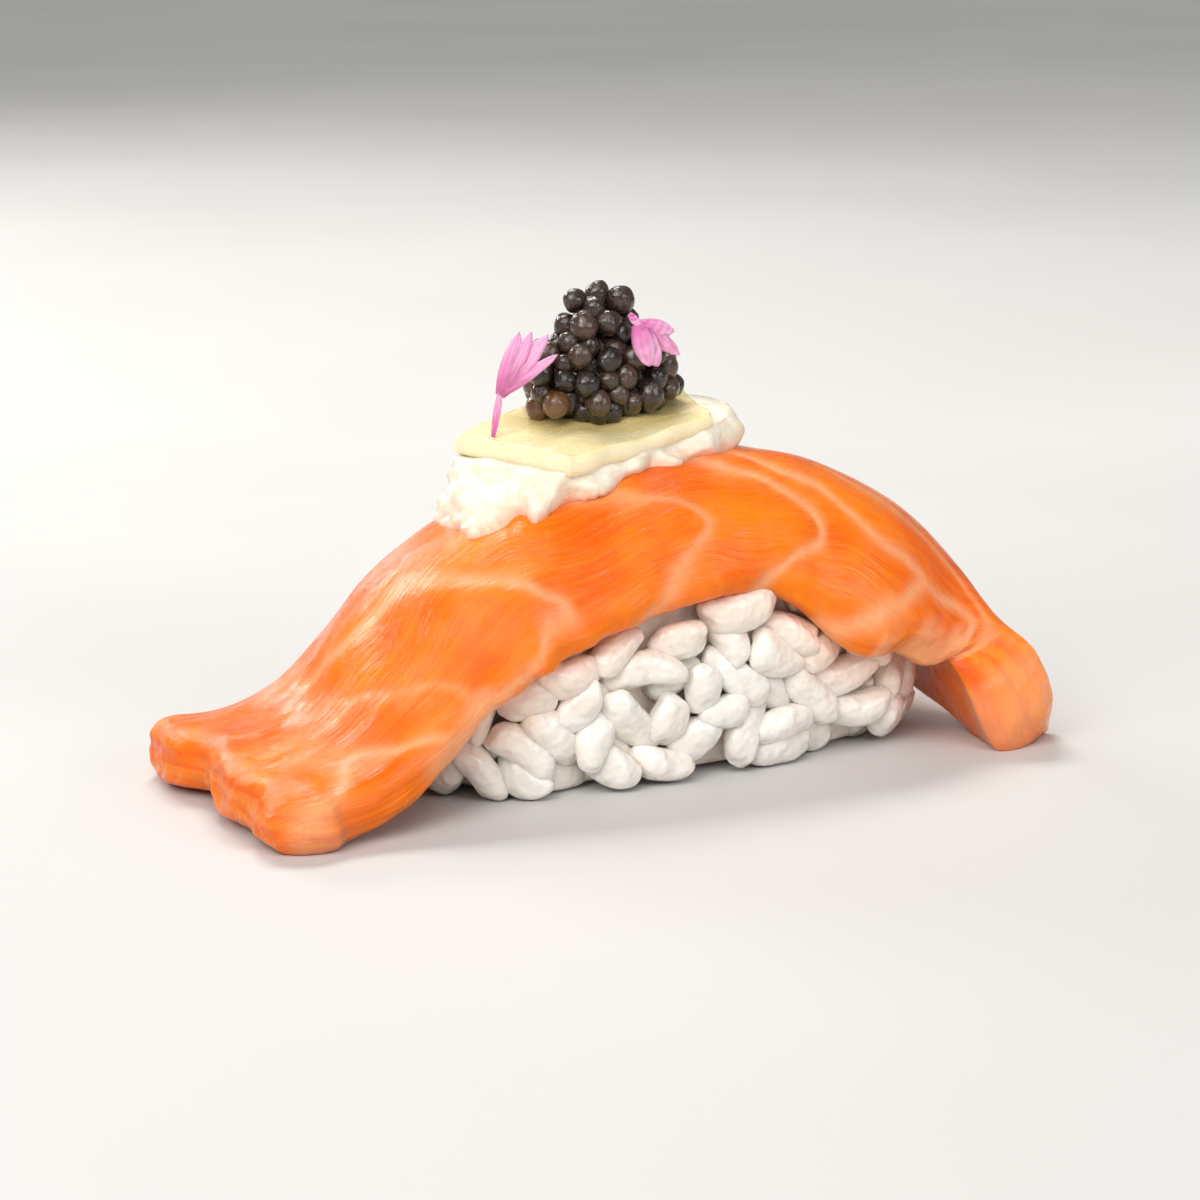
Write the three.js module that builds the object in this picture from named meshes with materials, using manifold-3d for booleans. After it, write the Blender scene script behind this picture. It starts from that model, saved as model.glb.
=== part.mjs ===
// Salmon nigiri: a pressed block of rice under a draped salmon slice, topped with a smear of cream, a thin
// pale slice, a heap of dark roe and two pink florets.
// Millimetres, +Z up, +X along the rice towards the thick end of the salmon, origin on the table under the
// middle of the whole.
import * as THREE from 'three';
import { mergeVertices } from 'three/addons/utils/BufferGeometryUtils.js';
import Module from 'manifold-3d';

const wasm = await Module();
wasm.setup();

// ---- Driving dimensions (mm and degrees) ----

const touchGap = 0.3;            // left between two pieces that touch
const beyond = 30;               // how far a cutting tool reaches past the piece it cuts

const salmon = {
  length: 99.5,                  // along the ridge, from cut end to cut end
  start: { x: -41.8, z: 6.4, angle: 1.9 },
  bends: [                       // the ridge turns by these angles, each eased over a length
    { at: 8.1, over: 16.5, turn: 62.9 },
    { at: 13.6, over: 58, turn: -12.5 },
    { at: 26.4, over: 23.7, turn: -35.7 },
    { at: 67.5, over: 65.9, turn: -63.9 },
    { at: 85.2, over: 20, turn: -26.6 },
    { at: 100.1, over: 8.2, turn: 30 },
  ],
  thickness: { leftFoot: 5.4, middle: 6.1, rightFoot: 6.5 },
  halfWidth: { leftFoot: 16.7, middle: 20.8, rightFoot: 14.3 },
  leanToBack: 0.6,               // how much wider the back half is than the front half
  droop: { feet: 8.5, middle: 82, riseFrom: 1, riseTo: 29, fallFrom: 65, fallTo: 88 },
  edgeThinning: 0.4,             // how much thinner the draped edges are, as a share of the thickness
  frontLobes: [                  // where the front edge reaches further out or less far
    { at: 14, spread: 7, out: -0.8 },
    { at: 38, spread: 9, out: -0.8 },
    { at: 55, spread: 9, out: -1 },
    { at: 73, spread: 5, out: 2.1 },
    { at: 99, spread: 6, out: 4.4 },
  ],
  frontHang: [                   // where the front edge hangs lower than the drape alone would put it
    { at: 75.7, spread: 8, down: 5.8 },
    { at: 84, spread: 5, down: 5.6 },
    { at: 90, spread: 3.5, down: 1.9 },
    { at: 97, spread: 5, down: 2.4 },
  ],
  frontSwell: { at: 98, spread: 5, up: 4 },   // the upper face rises at the right end's front corner
  endSkew: 5.2,                  // the right cut reaches further at the front and less at the back
  cornerRounding: { length: 5, depth: 2.4 },
  rimRadius: { leftTop: 2.6, rightTop: 0.9, bottom: 1.4 },
};

const rice = {
  centre: { x: 4, y: -0.3, z: 8 },
  half: { x: 27.2, y: 12, below: 12, above: 22 },
  planPower: 3,
  wallPower: 4,
  grain: 7.5,                    // length of a grain, which sets the spacing of the bumps
  bumpHeight: 0.45,
};

const paleSlice = {
  leftBack: new THREE.Vector3(-14.1, 5.6, 31.2),
  leftFront: new THREE.Vector3(-8, -6.1, 30.6),
  rightFront: new THREE.Vector3(9.4, -2.2, 32.4),
  rightBack: new THREE.Vector3(11.8, 8.8, 33.7),
  backCrown: { up: 1.5, out: 1.8 },            // how the middle of the back edge rises and bulges
  thickness: { left: 2, right: 1.4 },
  sag: 0.35,
  rimRadius: 0.5,
};

const cream = {
  centre: { x: -1.7, y: 0.4 },
  half: { x: 15, y: 6.6, z: 4.6 },
  slant: 0.09,                                 // mm towards the back for each mm to the right
  middleHeight: { left: 23.7, right: 29.8 },   // of its centre line above the table, at the two ends
  planPower: 2.5,
  bumps: { size: 4.6, height: 0.55 },
};

const roe = {
  centre: { x: 1.2, y: 4.2, z: 31.6 },
  half: { x: 7.7, y: 4.9 },
  profile: [                     // share of the half width at each height above the centre
    [0, 0.75], [1.2, 0.93], [2.8, 1], [4.4, 0.97], [6, 0.84], [7.6, 0.66], [9, 0.52], [10.2, 0.43],
    [11.4, 0.4], [12.1, 0.3],
  ],
  top: 12.5,
  lean: -0.08,                   // mm towards -X for each mm of height
  pearl: 2.4,
  bumpHeight: 0.35,
};

const petalThickness = 0.35;
const florets = {
  petal_left: {
    stem: [[-11.5, 2.4, 31.3], [-11, 2, 35.2]],
    lobes: [
      { tip: [-9.8, 0.3, 41.2], width: 1.6 },
      { tip: [-8.8, -0.2, 41.2], width: 1.7 },
      { tip: [-7.3, -0.6, 40.9], width: 1.8 },
      { tip: [-6.5, -1, 39.1], width: 1.1 },
    ],
    stemWidth: 0.9,
    cup: 0.5,
  },
  petal_right: {
    stem: [[1.4, -0.2, 42.2], [2.1, -0.7, 41.2]],
    lobes: [
      { tip: [2.9, -1.5, 37.3], width: 2.2 },
      { tip: [3.8, -1.5, 37.2], width: 2.2 },
      { tip: [5.9, -0.9, 40.3], width: 1.6 },
      { tip: [6.4, -1, 38.1], width: 1.6 },
    ],
    stemWidth: 1,
    cup: 0.5,
  },
};

// ---- Small helpers ----

const { clamp, lerp } = THREE.MathUtils;
const radians = (degrees) => degrees * Math.PI / 180;
const bell = (value, centre, spread) => Math.exp(-(((value - centre) / spread) ** 2));
const signedPower = (value, power) => Math.sign(value) * Math.abs(value) ** power;

// 0 before start, 1 after end, and an S-curve between them.
function ease(value, start, end) {
  const t = clamp((value - start) / (end - start), 0, 1);
  return t * t * (3 - 2 * t);
}

// Grid steps from -1 to 1 that crowd towards both ends, where the rounded rims need them.
const crowded = (t) => 0.45 * t + 0.55 * Math.sin(t * Math.PI / 2);

// Uneven bumps of about the given size, between -1 and 1: three waves crossing at different angles.
function bumps(point, size) {
  const k = Math.PI / size;
  return (Math.sin(k * (point.x + 0.35 * point.z)) * Math.cos(k * 0.9 * (point.z - 0.4 * point.y + 1))
    + Math.sin(k * 1.3 * (point.y + 0.6 * point.x) + 2) * Math.cos(k * 1.1 * (point.z + 0.3 * point.x))
    + Math.sin(k * 0.7 * (point.z - point.x) + 4)) / 2.4;
}

// ---- Closed shapes from grids ----

function meshGeometry(positions, faces) {
  const geometry = new THREE.BufferGeometry();
  geometry.setAttribute('position', new THREE.Float32BufferAttribute(positions, 3));
  geometry.setIndex(faces);
  geometry.computeVertexNormals();
  return geometry;
}

// A sheet with an upper and a lower face that share their rim. place(along, across, lower) gives a point,
// with along from 0 to 1 and across from -1 to 1.
function sheetSolid(alongSteps, acrossSteps, place) {
  const positions = [];
  const index = [[], []];
  for (const lower of [0, 1]) {
    for (let i = 0; i <= alongSteps; i++) {
      index[lower][i] = [];
      for (let j = 0; j <= acrossSteps; j++) {
        const onRim = i === 0 || j === 0 || i === alongSteps || j === acrossSteps;
        if (lower && onRim) {
          index[lower][i][j] = index[0][i][j];
          continue;
        }
        const along = (crowded(2 * i / alongSteps - 1) + 1) / 2;
        const across = crowded(2 * j / acrossSteps - 1);
        index[lower][i][j] = positions.length / 3;
        positions.push(...place(along, across, lower).toArray());
      }
    }
  }
  const faces = [];
  for (let i = 0; i < alongSteps; i++) {
    for (let j = 0; j < acrossSteps; j++) {
      const corners = index.map((grid) => [grid[i][j], grid[i + 1][j], grid[i + 1][j + 1], grid[i][j + 1]]);
      const [a, b, c, d] = corners[0];
      faces.push(a, b, c, a, c, d);
      const [e, f, g, h] = corners[1];
      faces.push(e, g, f, e, h, g);
    }
  }
  return meshGeometry(positions, faces);
}

// A closed lump. place(around, level) gives a point, with around in radians and level from 0, the bottom
// pole, to 1, the top pole.
function lumpSolid(aroundSteps, levelSteps, place) {
  const positions = [...place(0, 0).toArray()];
  for (let i = 1; i < levelSteps; i++) {
    for (let j = 0; j < aroundSteps; j++) {
      positions.push(...place(2 * Math.PI * j / aroundSteps, i / levelSteps).toArray());
    }
  }
  positions.push(...place(0, 1).toArray());
  const top = positions.length / 3 - 1;
  const ring = (i, j) => 1 + (i - 1) * aroundSteps + (j % aroundSteps);
  const faces = [];
  for (let j = 0; j < aroundSteps; j++) {
    faces.push(0, ring(1, j + 1), ring(1, j));
    faces.push(top, ring(levelSteps - 1, j), ring(levelSteps - 1, j + 1));
    for (let i = 1; i < levelSteps - 1; i++) {
      const [a, b, c, d] = [ring(i, j), ring(i, j + 1), ring(i + 1, j + 1), ring(i + 1, j)];
      faces.push(a, b, c, a, c, d);
    }
  }
  return meshGeometry(positions, faces);
}

// ---- Boolean cuts and joins ----

function toManifold(geometry) {
  const bare = geometry.clone();
  bare.deleteAttribute('normal');
  const merged = mergeVertices(bare, 1e-4);
  return new wasm.Manifold(new wasm.Mesh({
    numProp: 3,
    vertProperties: Float32Array.from(merged.attributes.position.array),
    triVerts: Uint32Array.from(merged.index.array),
  }));
}

function toGeometry(manifold) {
  const mesh = manifold.getMesh();
  return meshGeometry(Array.from(mesh.vertProperties), Array.from(mesh.triVerts));
}

// What is left of a shape after each tool has cut it: the largest body, without loose slivers.
function cutBy(geometry, ...tools) {
  const left = tools.reduce((rest, tool) => rest.subtract(toManifold(tool)), toManifold(geometry));
  const bodies = left.decompose().sort((one, other) => other.volume() - one.volume());
  return toGeometry(bodies[0]);
}

const joined = (geometries) => toGeometry(
  geometries.map(toManifold).reduce((all, next) => all.add(next)));

// ---- The salmon's draped sheet ----

// The ridge line: the direction starts at the start angle and turns by each bend, and the line is the
// running sum of the direction's cosine and sine.
function makeRidge({ length, start, bends }, steps = 400) {
  const stepLength = length * 1.05 / steps;
  const points = [];
  let { x, z } = start;
  for (let i = 0; i <= steps; i++) {
    const s = i * stepLength;
    const turned = bends.reduce(
      (sum, { at, over, turn }) => sum + turn * ease(s, at - over / 2, at + over / 2), 0);
    const angle = radians(start.angle + turned);
    points.push({ x, z, angle });
    x += Math.cos(angle) * stepLength;
    z += Math.sin(angle) * stepLength;
  }
  return (s) => {
    const place = clamp(s / stepLength, 0, steps - 1e-6);
    const i = Math.floor(place);
    const [a, b, t] = [points[i], points[i + 1], place - i];
    return { x: lerp(a.x, b.x, t), z: lerp(a.z, b.z, t), angle: lerp(a.angle, b.angle, t) };
  };
}

const ridge = makeRidge(salmon);

// What the sheet measures at a share of its length and a place across it.
function salmonMeasures(along, across) {
  const { length, halfWidth, thickness, droop, cornerRounding, endSkew, leanToBack } = salmon;
  const side = across < 0 ? -1 : 1;
  const cutStart = 0.7 * Math.sin(across * 5.2 + 0.6) + 0.4 * Math.sin(across * 9);
  const cutEnd = length - endSkew * across + 0.5 * Math.sin(across * 6 + 2);
  const s = lerp(cutStart, cutEnd, along);
  const draped = ease(s, droop.riseFrom, droop.riseTo) * (1 - ease(s, droop.fallFrom, droop.fallTo));
  let width = lerp(halfWidth.leftFoot, halfWidth.middle, ease(s, 4, 32));
  width = lerp(width, halfWidth.rightFoot, ease(s, 64, 86)) + side * leanToBack * draped;
  if (side < 0) salmon.frontLobes.forEach((lobe) => { width += lobe.out * bell(s, lobe.at, lobe.spread); });
  const fromEnd = Math.min(s - cutStart, cutEnd - s);
  width -= cornerRounding.depth * clamp(1 - fromEnd / cornerRounding.length, 0, 1) ** 3;
  let thick = lerp(thickness.leftFoot, thickness.middle, ease(s, 4, 24));
  thick = lerp(thick, thickness.rightFoot, ease(s, 66, 88));
  thick *= 1 - salmon.edgeThinning * draped * across ** 2;
  const fromRim = Math.min((1 - Math.abs(across)) * width, fromEnd);
  const hang = side > 0 ? 0 : Math.abs(across) ** 3
    * salmon.frontHang.reduce((sum, low) => sum + low.down * bell(s, low.at, low.spread), 0);
  const { at, spread, up } = salmon.frontSwell;
  const swell = side > 0 ? 0 : Math.abs(across) ** 3 * up * bell(s, at, spread);
  const edgeAngle = radians(lerp(droop.feet, droop.middle, draped));
  return { s, side, width, thick, fromRim, hang, swell, edgeAngle };
}

// Depth below the upper face: nothing or the full thickness inside, meeting in a rounded rim.
function rimDepth(fromRim, thick, lower, topRadius, bottomRadius, grow) {
  const roundness = (radius) => Math.sqrt(1 - (1 - clamp(fromRim / radius, 0, 1)) ** 2);
  const rim = 0.55 * thick;
  if (lower) return rim + (thick - rim + grow) * roundness(bottomRadius);
  return rim - (rim + grow) * roundness(topRadius);
}

// Across the sheet its angle grows evenly from the ridge to the edge, so the section is an arc of a circle.
// A point below the upper face lies inwards along the sheet's own normal. Nothing goes below the table.
function salmonPlace(along, across, lower, { grow = 0, lift = 0 } = {}) {
  const { s, side, width, thick, fromRim, hang, swell, edgeAngle } = salmonMeasures(along, across);
  const { leftTop, rightTop, bottom } = salmon.rimRadius;
  const depth = rimDepth(fromRim, thick, lower, lerp(leftTop, rightTop, ease(s, 66, 80)), bottom, grow);
  const { x, z, angle } = ridge(s);
  const radius = width / edgeAngle;
  const turn = (edgeAngle + grow / radius) * Math.abs(across);
  const out = (radius - depth) * Math.sin(turn);
  const down = radius - (radius - depth) * Math.cos(turn);
  const swollen = swell * clamp(1 - depth / thick, 0, 1);
  const height = Math.max(z - Math.cos(angle) * down - hang + swollen, 0);
  const moved = fromRim > 0 && lower === (lift < 0 ? 1 : 0) ? lift : 0;
  return new THREE.Vector3(x + Math.sin(angle) * down, side * out, height + moved);
}

const salmonSheet = (change) => sheetSolid(52, 16,
  (along, across, lower) => salmonPlace(along, across, lower, change));

// ---- The rice block ----

// A block with rounded ends and nearly upright walls, bumpy with grains, flat where it stands.
function riceBlock() {
  const { centre, half, planPower, wallPower, grain, bumpHeight } = rice;
  return lumpSolid(64, 18, (around, level) => {
    const tilt = Math.PI * (level - 0.5);
    const reach = Math.cos(tilt) ** (2 / wallPower);
    const point = new THREE.Vector3(
      centre.x + half.x * reach * signedPower(Math.cos(around), 2 / planPower),
      centre.y + half.y * reach * signedPower(Math.sin(around), 2 / planPower),
      centre.z + (tilt < 0 ? half.below : half.above) * signedPower(Math.sin(tilt), 2 / wallPower));
    const swell = 1 + bumpHeight * bumps(point, grain / 2) / half.y;
    point.x = centre.x + (point.x - centre.x) * swell;
    point.y = centre.y + (point.y - centre.y) * swell;
    point.z = Math.max(point.z, 0);
    return point;
  });
}

// ---- The pale slice ----

// A thin plate between four corners that are not quite level, sagging a little along its middle.
function sliceSheet({ grow = 0, lift = 0 } = {}) {
  const { leftBack, leftFront, rightFront, rightBack, backCrown, thickness, sag, rimRadius } = paleSlice;
  const length = leftFront.distanceTo(rightFront);
  const depth = leftFront.distanceTo(leftBack);
  return sheetSolid(14, 8, (along, across, lower) => {
    const front = leftFront.clone().lerp(rightFront, along);
    const back = leftBack.clone().lerp(rightBack, along);
    const point = front.clone().lerp(back, (across + 1) / 2);
    const outwards = grow * (2 * along - 1);
    point.x += outwards;
    point.y += grow * across;
    const fromRim = Math.min((1 - Math.abs(across)) * depth / 2, along * length, (1 - along) * length);
    const thick = lerp(thickness.left, thickness.right, along);
    const arch = Math.sin(Math.PI * along);
    point.y += backCrown.out * arch * (across + 1) / 2;
    point.z += backCrown.up * arch * (across + 1) / 2 - sag * arch;
    point.z -= rimDepth(fromRim, thick, lower, rimRadius, rimRadius, grow);
    if (fromRim > 0 && lower === (lift < 0 ? 1 : 0)) point.z += lift;
    return point;
  });
}

// ---- The cream ----

// A long low lump that climbs from the left end to the right, with an uneven outline.
function creamLump() {
  const { centre, half, slant, middleHeight, planPower, bumps: lumps } = cream;
  return lumpSolid(40, 12, (around, level) => {
    const tilt = Math.PI * (level - 0.5);
    const reach = Math.cos(tilt) ** 0.7;
    const x = centre.x + half.x * reach * signedPower(Math.cos(around), 2 / planPower);
    const y = centre.y + half.y * reach * signedPower(Math.sin(around), 2 / planPower);
    const climb = (x - centre.x + half.x) / (2 * half.x);
    const point = new THREE.Vector3(x, y, lerp(middleHeight.left, middleHeight.right, climb));
    point.z += half.z * signedPower(Math.sin(tilt), 0.8);
    const swell = 1 + lumps.height * bumps(point, lumps.size / 2) / half.y;
    point.x = centre.x + (point.x - centre.x) * swell;
    point.y = centre.y + (point.y - centre.y) * swell + slant * (point.x - centre.x);
    return point;
  });
}

// ---- The roe heap ----

// A leaning cone with a rounded foot and a small knob on top, bumpy with pearls.
function roeHeap() {
  const { centre, half, profile, top, lean, pearl, bumpHeight } = roe;
  const levels = [[0, 0], ...profile, [top, 0]];
  const levelSteps = levels.length - 1;
  return lumpSolid(30, levelSteps, (around, level) => {
    const [height, share] = levels[Math.round(level * levelSteps)];
    const point = new THREE.Vector3(
      centre.x + lean * height + half.x * share * Math.cos(around),
      centre.y + half.y * share * Math.sin(around),
      centre.z + height);
    const swell = share > 0 ? 1 + bumpHeight * bumps(point, pearl / 2) / (half.y * share) : 1;
    point.x = centre.x + lean * height + (point.x - centre.x - lean * height) * swell;
    point.y = centre.y + (point.y - centre.y) * swell;
    return point;
  });
}

// ---- The florets ----

// One narrow petal: from base to tip it widens as a half wave, closes at both ends and cups across.
function petal(base, tip, width, cup) {
  const start = new THREE.Vector3(...base);
  const end = new THREE.Vector3(...tip);
  const run = end.clone().sub(start);
  const facing = new THREE.Vector3(-0.45, -0.85, 0.25).normalize();
  const sideways = new THREE.Vector3().crossVectors(run, facing).normalize();
  const outwards = new THREE.Vector3().crossVectors(sideways, run).normalize();
  return sheetSolid(8, 2, (along, across, lower) => {
    const reach = 0.25 + 0.75 * Math.sin(Math.PI * clamp(0.12 + 0.84 * along, 0, 1));
    const curve = cup * Math.sin(Math.PI * along) - cup * 0.5 * across ** 2 * reach;
    return start.clone()
      .addScaledVector(run, along)
      .addScaledVector(sideways, -across * width * reach / 2)
      .addScaledVector(outwards, curve - (lower ? petalThickness : 0));
  });
}

// A stem and its petals, which all leave the stem's upper end.
function floret({ stem, lobes, stemWidth, cup }) {
  const [foot, fork] = stem;
  const overlap = 1.3;                            // the stem runs on into the petals
  const stemEnd = fork.map((value, i) => lerp(foot[i], value, overlap));
  return joined([
    petal(foot, stemEnd, stemWidth, 0),
    ...lobes.map(({ tip, width }) => petal(fork, tip, width, cup)),
  ]);
}

// ---- The assembly ----

const nigiri = new THREE.Group();

function addPiece(name, geometry, color, roughness) {
  const mesh = new THREE.Mesh(geometry, new THREE.MeshStandardMaterial({ color, roughness, metalness: 0 }));
  mesh.name = name;
  nigiri.add(mesh);
}

// Each tool takes out a sheet with its gap, and all that lies on one side of it.
const above = (sheet) => [sheet({ grow: touchGap }), sheet({ grow: touchGap, lift: beyond })];
const below = (sheet) => [sheet({ grow: touchGap }), sheet({ grow: touchGap, lift: -beyond })];

addPiece('salmon', salmonSheet(), 0xdc6410, 0.35);
addPiece('rice', cutBy(riceBlock(), ...above(salmonSheet)), 0xe9e2d8, 0.4);
addPiece('cream', cutBy(creamLump(), ...below(salmonSheet), ...above(sliceSheet)), 0xf0e9da, 0.45);
addPiece('slice', sliceSheet(), 0xe6d9a0, 0.35);
addPiece('caviar', cutBy(roeHeap(), ...below(sliceSheet)), 0x1c1512, 0.15);
for (const [name, settings] of Object.entries(florets)) addPiece(name, floret(settings), 0xdf86b6, 0.6);

// The origin goes under the middle of the whole, on the table.
const box = new THREE.Box3().setFromObject(nigiri);
const middle = box.getCenter(new THREE.Vector3());
nigiri.position.set(-middle.x, -middle.y, -box.min.z);

export default nigiri;
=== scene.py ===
import math
import bpy
import numpy as np
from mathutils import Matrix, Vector


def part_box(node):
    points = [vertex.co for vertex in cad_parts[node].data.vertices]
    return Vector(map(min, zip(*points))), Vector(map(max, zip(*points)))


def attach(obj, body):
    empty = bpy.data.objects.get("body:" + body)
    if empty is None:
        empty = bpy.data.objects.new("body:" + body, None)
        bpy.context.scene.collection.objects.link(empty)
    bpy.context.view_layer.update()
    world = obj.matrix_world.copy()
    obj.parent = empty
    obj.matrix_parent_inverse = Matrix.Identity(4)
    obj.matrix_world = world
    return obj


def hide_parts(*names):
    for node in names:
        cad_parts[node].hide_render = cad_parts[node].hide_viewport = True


# Salmon nigiri. Shapes are worked out in millimetres and made into metres as each mesh is built.
# +X runs along the rice towards the thick end of the salmon, +Z up, the table at z = 0.

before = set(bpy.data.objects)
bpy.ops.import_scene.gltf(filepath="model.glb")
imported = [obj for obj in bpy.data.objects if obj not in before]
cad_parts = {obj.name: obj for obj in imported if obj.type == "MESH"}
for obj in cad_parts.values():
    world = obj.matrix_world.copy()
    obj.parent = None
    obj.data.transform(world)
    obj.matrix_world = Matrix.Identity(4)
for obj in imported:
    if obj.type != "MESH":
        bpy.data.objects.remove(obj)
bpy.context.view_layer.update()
mm = 0.001


cameraSettings = {
    "azimuth": -29, "elevation": 13,                 # degrees round from the front, and up
    "lens": 100, "sensor": 36, "nearest": 0.01, "furthest": 20,
    "distance": 316.7, "target": (0.69, 4.02, 14.5),  # mm
}


# The direction of two angles in degrees, counted from the front: (sin a cos e, -cos a cos e, sin e).
def directionOf(azimuth, elevation):
    azimuth, elevation = math.radians(azimuth), math.radians(elevation)
    return Vector((math.sin(azimuth) * math.cos(elevation), -math.cos(azimuth) * math.cos(elevation),
                   math.sin(elevation)))


# The camera stands at its target plus the distance times its direction, and looks back at the target.
def placeCamera(settings):
    back = directionOf(settings["azimuth"], settings["elevation"])
    data = bpy.data.cameras.new("camera")
    data.lens = settings["lens"]
    data.sensor_width = settings["sensor"]
    data.clip_start = settings["nearest"]
    data.clip_end = settings["furthest"]
    camera = bpy.data.objects.new("camera", data)
    camera.location = (Vector(settings["target"]) + back * settings["distance"]) * mm
    camera.rotation_mode = "QUATERNION"
    camera.rotation_quaternion = (-back).to_track_quat("-Z", "Y")
    bpy.context.scene.collection.objects.link(camera)
    bpy.context.scene.camera = camera


placeCamera(cameraSettings)
print("camera placed")


# Curves, steps and waves.

# 0 before start, 1 after end, and an S-curve between them: 3t^2 - 2t^3.
def easeBetween(value, start, end):
    share = np.clip((value - start) / (end - start), 0, 1)
    return share * share * (3 - 2 * share)


# The bell exp(-((value - centre) / spread)^2).
def bell(value, centre, spread):
    return np.exp(-((value - centre) / spread) ** 2)


# first + (second - first) * share: first at share 0, second at share 1.
def mixed(first, second, share):
    return first + (second - first) * share


# The power of a value's size, with the value's own sign.
def signedPower(value, power):
    return np.sign(value) * np.abs(value) ** power


# Steps from -1 to 1 that crowd towards both ends, where the rounded rims need them: a little of t
# and the rest the sine of a quarter turn times t.
def crowdedSteps(count, even=0.07):
    t = np.linspace(-1, 1, count)
    return even * t + (1 - even) * np.sin(t * np.pi / 2)


# Uneven swells of about the given size, mostly between -1 and 1: the scaled sum of plane sine waves
# that cross at random angles.
def waves(points, size, seed, count=10):
    random = np.random.default_rng(seed)
    directions = random.normal(size=(count, points.shape[-1]))
    directions /= np.linalg.norm(directions, axis=1, keepdims=True)
    rates = directions / (size * random.uniform(0.7, 1.5, (count, 1)))
    phases = random.uniform(0, 2 * np.pi, count)
    return np.sin(2 * np.pi * (points @ rates.T) + phases).sum(-1) / math.sqrt(count)


# Several layers of waves on top of each other, each given as (height, size, seed).
def waveLayers(points, layers):
    return sum(height * waves(points, size, seed) for height, size, seed in layers)


# A smooth line through control points: each stretch is a Catmull-Rom cubic of four neighbours.
def smoothLine(controls, steps=8, closed=False):
    controls = np.array(controls, float)
    if closed:
        padded = np.concatenate([controls[-1:], controls, controls[:2]])
    else:
        padded = np.concatenate([2 * controls[:1] - controls[1:2], controls,
                                 2 * controls[-1:] - controls[-2:-1]])
    before, start, end, after = padded[:-3], padded[1:-2], padded[2:-1], padded[3:]
    t = (np.arange(steps) / steps)[:, None, None]
    line = 0.5 * (2 * start + (end - before) * t + (2 * before - 5 * start + 4 * end - after) * t ** 2
                  + (3 * start - before - 3 * end + after) * t ** 3)
    line = line.transpose(1, 0, 2).reshape(-1, controls.shape[1])
    return line if closed else np.concatenate([line, controls[-1:]])


# For each point, the place on a surface grid whose plan position is nearest, as an index.
def nearestIndex(points, targets, block=2000):
    found = [((points[i:i + block, None] - targets[None]) ** 2).sum(-1).argmin(1)
             for i in range(0, len(points), block)]
    return np.concatenate(found)


# Meshes from grids.

# Four corners of each cell of a grid of vertex numbers, in turning order.
def gridFaces(numbers):
    corners = [numbers[:-1, :-1], numbers[1:, :-1], numbers[1:, 1:], numbers[:-1, 1:]]
    return np.stack(corners, -1).reshape(-1, 4)


# A closed sheet: the upper grid, and a lower grid that shares the upper one's rim.
def sheetFaces(rows, columns):
    upper = np.arange(rows * columns).reshape(rows, columns)
    lower = upper.copy()
    inside = (rows - 2) * (columns - 2)
    lower[1:-1, 1:-1] = rows * columns + np.arange(inside).reshape(rows - 2, columns - 2)
    return np.concatenate([gridFaces(upper), gridFaces(lower)[:, ::-1]])


# Values for the vertices of a closed sheet: all of the upper grid, then the lower one without its rim.
def sheetValues(upper, lower):
    width = upper.shape[2:]
    return np.concatenate([upper.reshape(-1, *width), lower[1:-1, 1:-1].reshape(-1, *width)])


# A closed lump: a bottom pole, rings of vertices going up, and a top pole. Poles are fans of triangles,
# written as quads whose last corner is given as -1.
def lumpFaces(around, rings):
    ring = 1 + np.arange(around * rings).reshape(rings, around)
    ring = np.concatenate([ring, ring[:, :1]], 1)
    top = around * rings + 1
    none = np.full(around, -1)
    foot = np.stack([np.zeros(around, int), ring[0, 1:], ring[0, :-1], none], -1)
    head = np.stack([np.full(around, top), ring[-1, :-1], ring[-1, 1:], none], -1)
    return np.concatenate([foot, gridFaces(ring)[:, ::-1], head])


# The two angles of a lump's ring vertices: the tilt of each ring, evenly spaced between the poles, and
# the turn of each vertex round it.
def lumpAngles(around, rings):
    tilt = np.pi * (np.arange(1, rings + 1) / (rings + 1) - 0.5)
    turn = 2 * np.pi * np.arange(around) / around
    return np.meshgrid(tilt, turn, indexing="ij")


# Faces of many equal shapes whose vertices follow each other.
def repeatedFaces(faces, vertexCount, copies):
    steps = (np.arange(copies) * vertexCount)[:, None, None]
    return np.where(faces < 0, -1, faces[None] + steps).reshape(-1, 4)


# Makes a mesh object from points in mm, quads (-1 marks a missing corner) and values per vertex.
def makePiece(name, points, faces, node, material, values=None, subdivided=0):
    sides = (faces >= 0).sum(1)
    corners = faces[faces >= 0]
    mesh = bpy.data.meshes.new(name)
    mesh.vertices.add(len(points))
    mesh.vertices.foreach_set("co", (np.asarray(points) * mm).astype(np.float32).ravel())
    mesh.loops.add(len(corners))
    mesh.loops.foreach_set("vertex_index", corners.astype(np.int32))
    mesh.polygons.add(len(faces))
    mesh.polygons.foreach_set("loop_start", (np.cumsum(sides) - sides).astype(np.int32))
    mesh.update(calc_edges=True)
    mesh.polygons.foreach_set("use_smooth", np.ones(len(faces), bool))
    for key, value in (values or {}).items():
        kind, field = ("FLOAT", "value") if value.ndim == 1 else ("FLOAT_VECTOR", "vector")
        attribute = mesh.attributes.new(key, kind, "POINT")
        attribute.data.foreach_set(field, value.astype(np.float32).ravel())
    mesh.materials.append(material)
    mesh.validate()
    piece = bpy.data.objects.new(name, mesh)
    bpy.context.scene.collection.objects.link(piece)
    if subdivided:
        smoother = piece.modifiers.new("smoother", "SUBSURF")
        smoother.levels = subdivided
        smoother.render_levels = subdivided
    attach(piece, "root")
    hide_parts(node)
    print(name, "made with", len(faces), "faces")


# Helpers for materials.

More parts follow.
